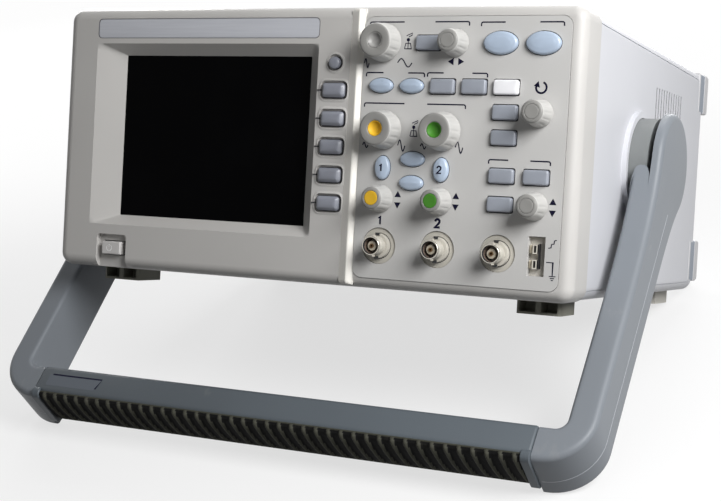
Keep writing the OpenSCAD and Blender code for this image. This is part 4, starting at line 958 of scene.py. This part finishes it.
# Divider ridge: place of its crest, reach of its flanks, height, and its rounded ends
RIDGE_X, RIDGE_LEFT, RIDGE_RIGHT = 31.8, 4.8, 3.3
RIDGE_PROUD, RIDGE_SUNK = 1.95, 1.0
RIDGE_END, RIDGE_FADE, RIDGE_END_STEPS, RIDGE_STEPS = 1.3, 2.5, 8, 12


def make_divider_ridge():
    """Ridge beside the control panel, painted near-white as a highlight: a straight gentle left flank and a
    steeper curved right one.
    """
    fades = quarter_turn(RIDGE_END_STEPS, 1)
    levels = [(RIDGE_END + RIDGE_FADE * (1 - math.cos(a)), math.sin(a)) for a in fades]
    levels += [(CASE_H - z, rise) for z, rise in reversed(levels)]
    turns = quarter_turn(RIDGE_STEPS, 1)
    right = [(RIDGE_RIGHT * a / turns[-1], math.cos(a) ** 2) for a in turns]
    rings = []
    for z, rise in levels:
        reach = RIDGE_LEFT * (1 + rise) / 2
        left = [(reach * (i / RIDGE_STEPS - 1), i / RIDGE_STEPS) for i in range(RIDGE_STEPS + 1)]
        ring = [(RIDGE_X + x, -RIDGE_PROUD * rise * proud, z) for x, proud in left + right]
        rings.append(ring + [(RIDGE_X + x, RIDGE_SUNK, z) for x in (RIDGE_RIGHT, -reach)])
    ridge = Form()
    ridge.loft(rings)
    ridge.piece("divider_ridge", "case", "white_trim", STAND, "bezel_grey", crease=60)


TICK_LEFT, TICK_RIGHT, TICK_HALF, TICK_FRONT, TICK_BACK = 8.9, 11.2, 0.35, -0.48, 0.3


def make_softkey_ticks():
    """Small dark marks between the screen and the softkeys."""
    form = Form()
    for z in SOFTKEY_ROWS:
        form.box((TICK_LEFT, TICK_FRONT, z - TICK_HALF), (TICK_RIGHT, TICK_BACK, z + TICK_HALF))
    form.piece("softkey_ticks", "case", "groove", STAND, "bezel_grey")


def make_softkey_frames():
    """Low raised frames round the softkeys and the round button above them, steep on the inside."""
    form = Form()
    shapes = [(z, key_edge(SOFTKEY_ROUND)) for z in SOFTKEY_ROWS] + [(MENU_ROW, oval_edge(MENU_W, MENU_W))]
    for row, edge in shapes:
        rings = [[(px + SOFTKEY_X, py + row, height) for px, py in edge(-out)] for out, height in FRAME]
        form.loft(rings + rings[:1], 0, False, False)
    form.piece("softkey_frames", "case", "bezel", on_panel(), "bezel_grey", crease=60)


# Screen: left, right, lower and upper edges of the glass and of its recess at the front
GLASS = (-116.3, 1.1, 29.8, 119.6)
RECESS = (-132.3, 8.5, 24.2, 125.6)
GLASS_DEPTH = 7.0
FILLET_R, FILLET_TAPER, FILLET_LAP, FILLET_STEPS = 3.2, 0.85, 0.1, 8


def make_recess_corners():
    """Fillets that round the four corners of the screen recess, widest at the front."""
    form = Form()
    for right in (0, 1):
        for top in (0, 1):
            sx, sz = (-1 if right else 1), (-1 if top else 1)
            rings = []
            for k in range(FILLET_STEPS + 1):
                t = k / FILLET_STEPS
                x = RECESS[right] + (GLASS[right] - RECESS[right]) * t
                z = RECESS[2 + top] + (GLASS[2 + top] - RECESS[2 + top]) * t
                r = FILLET_R * (1 - FILLET_TAPER * t)
                line = [(x - sx * FILLET_LAP, z - sz * FILLET_LAP)]
                for a in quarter_turn(FILLET_STEPS):
                    line.append((x + sx * r * (1 - math.sin(a)), z + sz * r * (1 - math.cos(a))))
                rings.append([(px, GLASS_DEPTH * t, pz) for px, pz in line])
            form.loft(rings)
    form.piece("screen_recess_corners", "case", "bezel", STAND, "bezel_grey", crease=60)


# Side slots of the case, and how deep the dark inserts painted as the shade in them lie
VENTS, VENT_Y, VENT_PITCH, VENT_W = 11, 137.1, 5.65, 2.6
VENT_LOW, VENT_HIGH, TUBE_HALF = 45.0, 118.0, 152.4
SLOT_SHADE_BACK, SLOT_SHADE_FRONT, SLOT_SHADE_LAP = 1.6, 0.45, 0.02


def make_vent_slot_shade():
    """Dark inserts just under the surface in each side slot, painted as the shade inside it."""
    form = Form()
    low, high = VENT_LOW - SLOT_SHADE_LAP, VENT_HIGH + SLOT_SHADE_LAP
    for side in (1, -1):
        x0, x1 = sorted((side * (TUBE_HALF - SLOT_SHADE_BACK), side * (TUBE_HALF - SLOT_SHADE_FRONT)))
        for i in range(VENTS):
            y = VENT_Y + i * VENT_PITCH
            form.box((x0, y - SLOT_SHADE_LAP, low), (x1, y + VENT_W + SLOT_SHADE_LAP, high))
    form.piece("vent_slot_shade", "case", "groove", STAND, "dark_plastic")


# Handle, hanging along local -z from the pivot: s is local y, which points to the back of the arms
ARM_IN, ARM_OUT, HEAD_IN, LAP = 158.5, 173.5, 168.0, 0.02
ARM_FRONT, ARM_BACK, ARM_LOW, ARM_BROAD = -11.0, 23.0, -160.0, -105.0
HEAD_R, HEAD_S, HEAD_Z, HEAD_STEPS = 28.5, 1.0, 0.5, 60
CORNER_X, CORNER_Z, CORNER_R = 147.5, -169.0, 26.0
CROOK_X, CROOK_Z, CROOK_R, HEEL = 153.0, -170.5, 5.5, 1.15
BAR_END, BAR_FACE, BAR_BACK, BAR_LOW, BAR_TOP = 146.0, -11.8, 17.0, -193.4, -175.6
EDGE, EDGE_IN, EDGE_STEPS, EDGE_IN_STEPS = 3.2, 2.2, 8, 6
DRUM_CLEAR, DRUM_STEPS, LIP_FOOT, LIP_TIP, LIP_LEAST = 26.3, 13, -30.5, -18.5, -0.966
LEVELS, FLARE, BENDS = 8, 24, 14
TONGUE_LAYERS = (162.0, 163.25, 164.5, 165.6, 166.5, 167.2, 167.7, HEAD_IN)
PIN_R, PIN_START, PIN_LAP, PIN_SIDES = 5.9, 148.8, 1.0, 32


def curve(start, pull_start, pull_end, end, share=1.0, count=FLARE):
    """Points of a cubic curve up to a share of its length, without its first point."""
    corners = (start, pull_start, pull_end, end)
    points = []
    for i in range(1, count + 1):
        t = share * i / count
        parts = ((1 - t) ** 3, 3 * (1 - t) ** 2 * t, 3 * (1 - t) * t * t, t ** 3)
        points.append(tuple(sum(w * p[k] for w, p in zip(parts, corners)) for k in (0, 1)))
    return points


def on_head(degrees):
    """Point on the round head of an arm."""
    a = math.radians(degrees)
    return HEAD_S + HEAD_R * math.cos(a), HEAD_Z + HEAD_R * math.sin(a)


FRONT_JOIN, BACK_JOIN = 205.0, -20.0
FRONT_CURVE = ((ARM_FRONT, ARM_BROAD), (ARM_FRONT, -60.0), (-14.2, -34.2), on_head(FRONT_JOIN))
BACK_CURVE = ((ARM_BACK, -60.0), (ARM_BACK, -40.0), (23.3, -22.4), on_head(BACK_JOIN))


def straight(s, low, high, count):
    """Points of a straight edge at s, from one height to another."""
    return [(s, low + (high - low) * i / count) for i in range(count + 1)]


def plate_outline():
    """Outer half of an arm from the side: up the front edge, round the head and down the back edge."""
    front = straight(ARM_FRONT, ARM_LOW, ARM_BROAD, LEVELS) + curve(*FRONT_CURVE)
    back = straight(ARM_BACK, ARM_LOW, ARM_BROAD, LEVELS)
    back += straight(ARM_BACK, ARM_BROAD, BACK_CURVE[0][1], FLARE // 2)[1:]
    back += curve(*BACK_CURVE, count=FLARE // 2)
    head = [on_head(FRONT_JOIN + (BACK_JOIN - FRONT_JOIN) * i / HEAD_STEPS) for i in range(1, HEAD_STEPS)]
    return front + head + back[::-1], len(front)


def tongue_outline(x):
    """Inner half of an arm from the side: its lip wraps the hub drum, highest in the middle of its width."""
    middle, half = (ARM_IN + HEAD_IN) / 2, (HEAD_IN - ARM_IN) / 2
    arch = max(0.0, 1 - abs((x - middle) / half) ** 3) ** (1 / 3)
    tip = LIP_FOOT + (LIP_TIP - LIP_FOOT) * arch
    low, high = 0.0, 1.0
    for _ in range(30):
        share = (low + high) / 2
        low, high = (share, high) if curve(*FRONT_CURVE, share, 1)[0][1] < tip else (low, share)
    front = straight(ARM_FRONT, ARM_LOW, ARM_BROAD, LEVELS) + curve(*FRONT_CURVE, share)
    first = math.asin(max(tip, LIP_LEAST * DRUM_CLEAR) / DRUM_CLEAR)
    last = -math.acos(ARM_BACK / DRUM_CLEAR)
    arc = [-math.pi - first + (last + math.pi + first) * i / DRUM_STEPS for i in range(DRUM_STEPS + 1)]
    back = [(DRUM_CLEAR * math.cos(a), DRUM_CLEAR * math.sin(a)) for a in arc]
    back += straight(ARM_BACK, back[-1][1], ARM_BROAD, FLARE - DRUM_STEPS - 1)[1:]
    return front + back + straight(ARM_BACK, ARM_BROAD, ARM_LOW, LEVELS), len(front)


def inset_line(line, amount, clear):
    """The outline moved inwards, at least clear from the pivot; its lower ends stay on their level."""
    inner = []
    for i, (s, z) in enumerate(line):
        along = heading(line, i)
        level = i in (0, len(line) - 1)
        s, z = s + along.y * amount, z if level else z - along.x * amount
        push = max(1.0, clear / math.hypot(s, z))
        inner.append((s * push, z * push))
    return inner


def bend(x):
    """(x, z) points from the crossbar's end round the corner, for the layer that lies at x in the arm."""
    outer = CORNER_R - ARM_OUT + max(x, HEAD_IN)
    blend = min((x - ARM_IN) / (HEAD_IN - ARM_IN), 1.0)
    line = []
    for a in reversed(quarter_turn(BENDS)):
        far = (CORNER_X + outer * math.cos(a), CORNER_Z - outer * math.sin(a))
        near = (CROOK_X + CROOK_R * math.cos(a), CROOK_Z - CROOK_R * math.sin(a))
        line.append(tuple(near[k] + (far[k] - near[k]) * blend for k in (0, 1)))
    return [(BAR_END, line[0][1])] + line


def arm_ring(side, x, inset, outline, clear=0.0):
    """One layer of an arm, from the crossbar up the front edge and back down to the crossbar."""
    round_corner = bend(x)
    ring = [(side * px, ARM_FRONT + inset, pz) for px, pz in round_corner]
    ring += [(side * x, s, z) for s, z in inset_line(outline, inset, clear)]
    heel = [HEEL] + [HEEL * math.cos(a) for a in quarter_turn(BENDS)]
    back = [(side * px, ARM_BACK - inset - cut, pz) for (px, pz), cut in zip(round_corner, heel)]
    return ring + back[::-1]


def arm_form(side):
    """One arm; side is 1 for the right one and -1 for the left one."""
    form = Form()
    corner = BENDS + 2
    outline, paired = plate_outline()
    layers = [(HEAD_IN - LAP, 0.0)]
    for a in quarter_turn(EDGE_STEPS):
        layers.append((ARM_OUT - EDGE * (1 - math.sin(a)), EDGE * (1 - math.cos(a))))
    form.slab([arm_ring(side, x, inset, outline) for x, inset in layers], paired + corner)
    layers = []
    for a in quarter_turn(EDGE_IN_STEPS):
        layers.append((ARM_IN + EDGE_IN * (1 - math.cos(a)), EDGE_IN * (1 - math.sin(a))))
    layers += [(x, 0.0) for x in TONGUE_LAYERS]
    rings = [arm_ring(side, x, inset, tongue_outline(x)[0], DRUM_CLEAR) for x, inset in layers]
    return form.slab(rings, tongue_outline(HEAD_IN)[1] + corner)


def make_arms():
    """The two arms, each with its pivot pin."""
    pin = [(PIN_R * math.cos(a), PIN_R * math.sin(a)) for a in full_turn(PIN_SIDES)]
    for name, side in (("handle_arm_right", 1), ("handle_arm_left", -1)):
        form = arm_form(side)
        form.loft([[(side * x, s, z) for s, z in pin] for x in (PIN_START, HEAD_IN + PIN_LAP)])
        form.piece(name + "_shell", "handle", "handle", HANDLE, "handle_grey", (name,), crease=32)


# Parting lines: where they start and lie on the arms, and their (s, height) section
PARTING_TOP, PARTING_S, PARTING_STEPS = -26.0, 9.5, 6
PARTING_SECTION = ((-0.25, -0.3), (-0.25, 0.04), (0.25, 0.04), (0.25, -0.3))


def make_parting_lines():
    """Fine lines down the outer faces of the arms and round their lower corners, painted pale as a highlight.
    """
    form = Form()
    path = straight(ARM_OUT, PARTING_TOP, CORNER_Z, PARTING_STEPS)
    for a in quarter_turn(BENDS, 1):
        path.append((CORNER_X + CORNER_R * math.cos(a), CORNER_Z - CORNER_R * math.sin(a)))
    for side in (1, -1):
        rings = []
        for i, (x, z) in enumerate(path):
            along = heading(path, i)
            rings.append([(side * (x - along.y * rise), PARTING_S + ds, z + along.x * rise)
                          for ds, rise in PARTING_SECTION])
        form.loft(rings)
    form.piece("arm_parting_lines", "handle", "parting", HANDLE, "handle_grey")


# Crossbar: (distance from the end, inset) profiles of its ends and of the two thicker walls there
BAR_ROUND, BAR_CORNER = ((0.3, 1.4), (0.5, 0.8), (0.9, 0.3), (1.6, 0.0)), 3.2
WALL_ROUND, WALL_CORNER = ((0.2, 0.6), (0.6, 0.0), (4.6, 0.0), (5.0, 0.4)), 3.4
WALL_FACE, WALL_BACK, WALL_LOW, WALL_TOP = BAR_FACE - 0.7, BAR_BACK - 0.4, -196.4, BAR_LOW + 4

# Label on the crossbar: left, right, lower and upper edges, its slanted end, and a dark line painted as shade
# along two edges
LABEL = (-139.6, -104.6, -188.6, -181.4)
LABEL_SLANT, LABEL_LOW, LABEL_HIGH = 2.4, -0.3, 0.05
LABEL_LINE_W, LABEL_LINE_HIGH, LABEL_LINE_IN, LABEL_LINE_UP = 0.9, 0.12, 2.0, 1.0


def bar_section(front, back, low, high, r, inset):
    """Rounded section of the bar between its faces, at an inset."""
    outline = round_rect(back - front - 2 * inset, high - low - 2 * inset, r - inset)
    return moved(outline, (front + back) / 2, (low + high) / 2)


def make_crossbar():
    """The bar between the arms, with a wall at each end of the grip, and a plain label on its face with a
    dark line of painted shade along two edges.
    """
    bar = Form()
    ends = [(-BAR_END + gap, inset) for gap, inset in BAR_ROUND]
    ends += [(-x, inset) for x, inset in reversed(ends)]
    rings = []
    for x, inset in ends:
        section = bar_section(BAR_FACE, BAR_BACK, BAR_LOW, BAR_TOP, BAR_CORNER, inset)
        rings.append([(x, s, z) for s, z in section])
    bar.loft(rings)
    for side in (1, -1):
        rings = []
        for gap, inset in WALL_ROUND:
            section = bar_section(WALL_FACE, WALL_BACK, WALL_LOW, WALL_TOP, WALL_CORNER, inset)
            rings.append([(side * (BAR_END - gap), s, z) for s, z in section])
        bar.loft(rings)
    bar.piece("handle_crossbar_shell", "handle", "bar", HANDLE, "bar_dark", ("handle_crossbar",), crease=40)
    x0, x1, z0, z1 = LABEL
    on_bar = HANDLE @ Matrix(((1, 0, 0, 0), (0, 0, -1, BAR_FACE), (0, 1, 0, 0), (0, 0, 0, 1)))
    label = Form()
    label.prism([(x0, z0), (x1 - LABEL_SLANT, z0), (x1, z1), (x0, z1)], LABEL_LOW, LABEL_HIGH)
    # A dark line of painted shade along the label's upper and slanted edges
    line = [(x0 + LABEL_LINE_IN, z1), (x1, z1), (x1 - LABEL_LINE_IN, z0 + LABEL_LINE_UP)]
    label.ribbon(line, LABEL_LINE_W, 0.0, LABEL_LINE_HIGH, 1)
    label.piece("crossbar_label", "handle", ("label", "ink"), on_bar, "bar_dark", crease=60)


# Grip: the line of its skin round the bar from front to back, its ribs, and the two rims along it
GRIP_CORE = (
    (-8.8, -190.4), (-10.4, -192.0), (-11.4, -193.6), (-11.0, -194.8), (-9.6, -195.3), (-6.0, -195.5),
    (-2.0, -195.6), (2.0, -195.5), (6.0, -195.2), (10.0, -194.7), (13.2, -194.0), (15.6, -192.7),
    (17.2, -190.8), (17.6, -188.6),
)
GRIP_MARGIN, CORE_SPLIT = 4.8, 3
GRIP_RIBS, RIB_STEPS, RIB_LIFT, RIB_HALF, RIB_CREST = 40, 14, 1.6, 0.3, 0.52
RIB_LEAN, RIB_CURVE = 5.0, 0.55
RIB_START, RIB_STOP, RIB_FADE = 0.1, 0.82, 0.12
RIMS, RIM_R, RIM_SIDES = ((-10.9, -192.75), (14.9, -193.2)), 0.55, 12


def grip_core():
    """The skin's line with each stretch split evenly."""
    core = []
    for a, b in zip(GRIP_CORE, GRIP_CORE[1:]):
        shares = [k / CORE_SPLIT for k in range(CORE_SPLIT)]
        core += [(a[0] + (b[0] - a[0]) * t, a[1] + (b[1] - a[1]) * t) for t in shares]
    return core + [GRIP_CORE[-1]]


def make_grip():
    """Ribbed rubber: one skin over the outer face of the crossbar, lifted into slanting curved ribs, the
    faces between them painted black as shade.
    """
    x0, x1 = -BAR_END + GRIP_MARGIN, BAR_END - GRIP_MARGIN
    pitch = (x1 - x0) / GRIP_RIBS
    columns = GRIP_RIBS * RIB_STEPS
    core = grip_core()
    rows = len(core)
    rings, crests = [], []
    for k in range(columns + 1):
        x = x0 + (x1 - x0) * k / columns
        ring = []
        for i, (s, z) in enumerate(core):
            t = i / (rows - 1)
            along = heading(core, i)
            slant = RIB_LEAN * ((1 - RIB_CURVE) * t + RIB_CURVE * t * t)
            phase = ((x - x0 - slant) / pitch) % 1.0
            ridge = max(0.0, 1.0 - abs(phase - 0.5) / RIB_HALF)
            fade = max(0.0, min(1.0, (t - RIB_START) / RIB_FADE, (RIB_STOP - t) / RIB_FADE))
            lift = RIB_LIFT * ridge * ridge * (3 - 2 * ridge) * fade if 0 < k < columns else 0.0
            ring.append((x, s + along.y * lift, z - along.x * lift))
            crests.append(ridge if fade else 0.0)
        rings.append(ring)
    grip = Form()
    grip.loft(rings)
    # Faces away from the rib crests are painted black as shade
    for i in range(columns * rows):
        grip.marks[i] = 0 if crests[i] > RIB_CREST else 1
    rim = oval(2 * RIM_R, 2 * RIM_R, RIM_SIDES)
    for s, z in RIMS:
        grip.loft([[(x, ps, pz) for ps, pz in moved(rim, s, z)] for x in (x0, x1)])
    grip.piece("handle_grip_ribs", "handle", ("grip", "grip_groove"), HANDLE, "grip_rubber",
               ("handle_grip",), crease=50)


# Bumpers behind the case: lower and upper edges, and bands of (y, inset, 1 where it is blue-grey)
BUMPER_X, BUMPER_W, BUMPER_ROUND = 145.7, 14.0, 1.2
BUMPER_SPANS = ((6.2, 32.0), (112.0, 136.8))
BUMPER_BANDS = (
    (238.5, 0.6, 0), (239.0, 0.0, 0), (241.0, 0.0, 0), (241.2, 0.25, 1), (252.0, 0.25, 1), (252.2, 0.0, 0),
    (259.0, 0.0, 0), (262.5, 0.4, 0), (265.5, 1.0, 0), (268.0, 1.9, 0), (269.7, 2.9, 0), (270.6, 4.2, 0),
)


def make_bumpers():
    """Four white bumpers on the rear corners of the case, each with a blue-grey band."""
    form = Form()
    last = len(BUMPER_BANDS) - 2
    for side in (1, -1):
        for low, high in BUMPER_SPANS:
            rings = []
            for y, inset, _ in BUMPER_BANDS:
                outline = round_rect(BUMPER_W - 2 * inset, high - low - 2 * inset, BUMPER_ROUND)
                rings.append([(px, y, pz) for px, pz in moved(outline, side * BUMPER_X, (low + high) / 2)])
            for k in range(last + 1):
                grey = BUMPER_BANDS[k][2] and BUMPER_BANDS[k + 1][2]
                form.loft(rings[k:k + 2], grey, k == 0, k == last)
    form.piece("rear_bumper_set", "case", ("bumper", "stripe"), STAND, "bumper_plastic",
               ("rear_bumpers",), crease=40)


set_camera()
set_stage()
paint_cad()
make_keys()
make_power_button()
make_button_digits()
make_knobs()
make_sockets()
make_probe_loops()
make_print()
make_name_plate()
make_divider_ridge()
make_softkey_ticks()
make_softkey_frames()
make_recess_corners()
make_vent_slot_shade()
make_arms()
make_parting_lines()
make_crossbar()
make_grip()
make_bumpers()
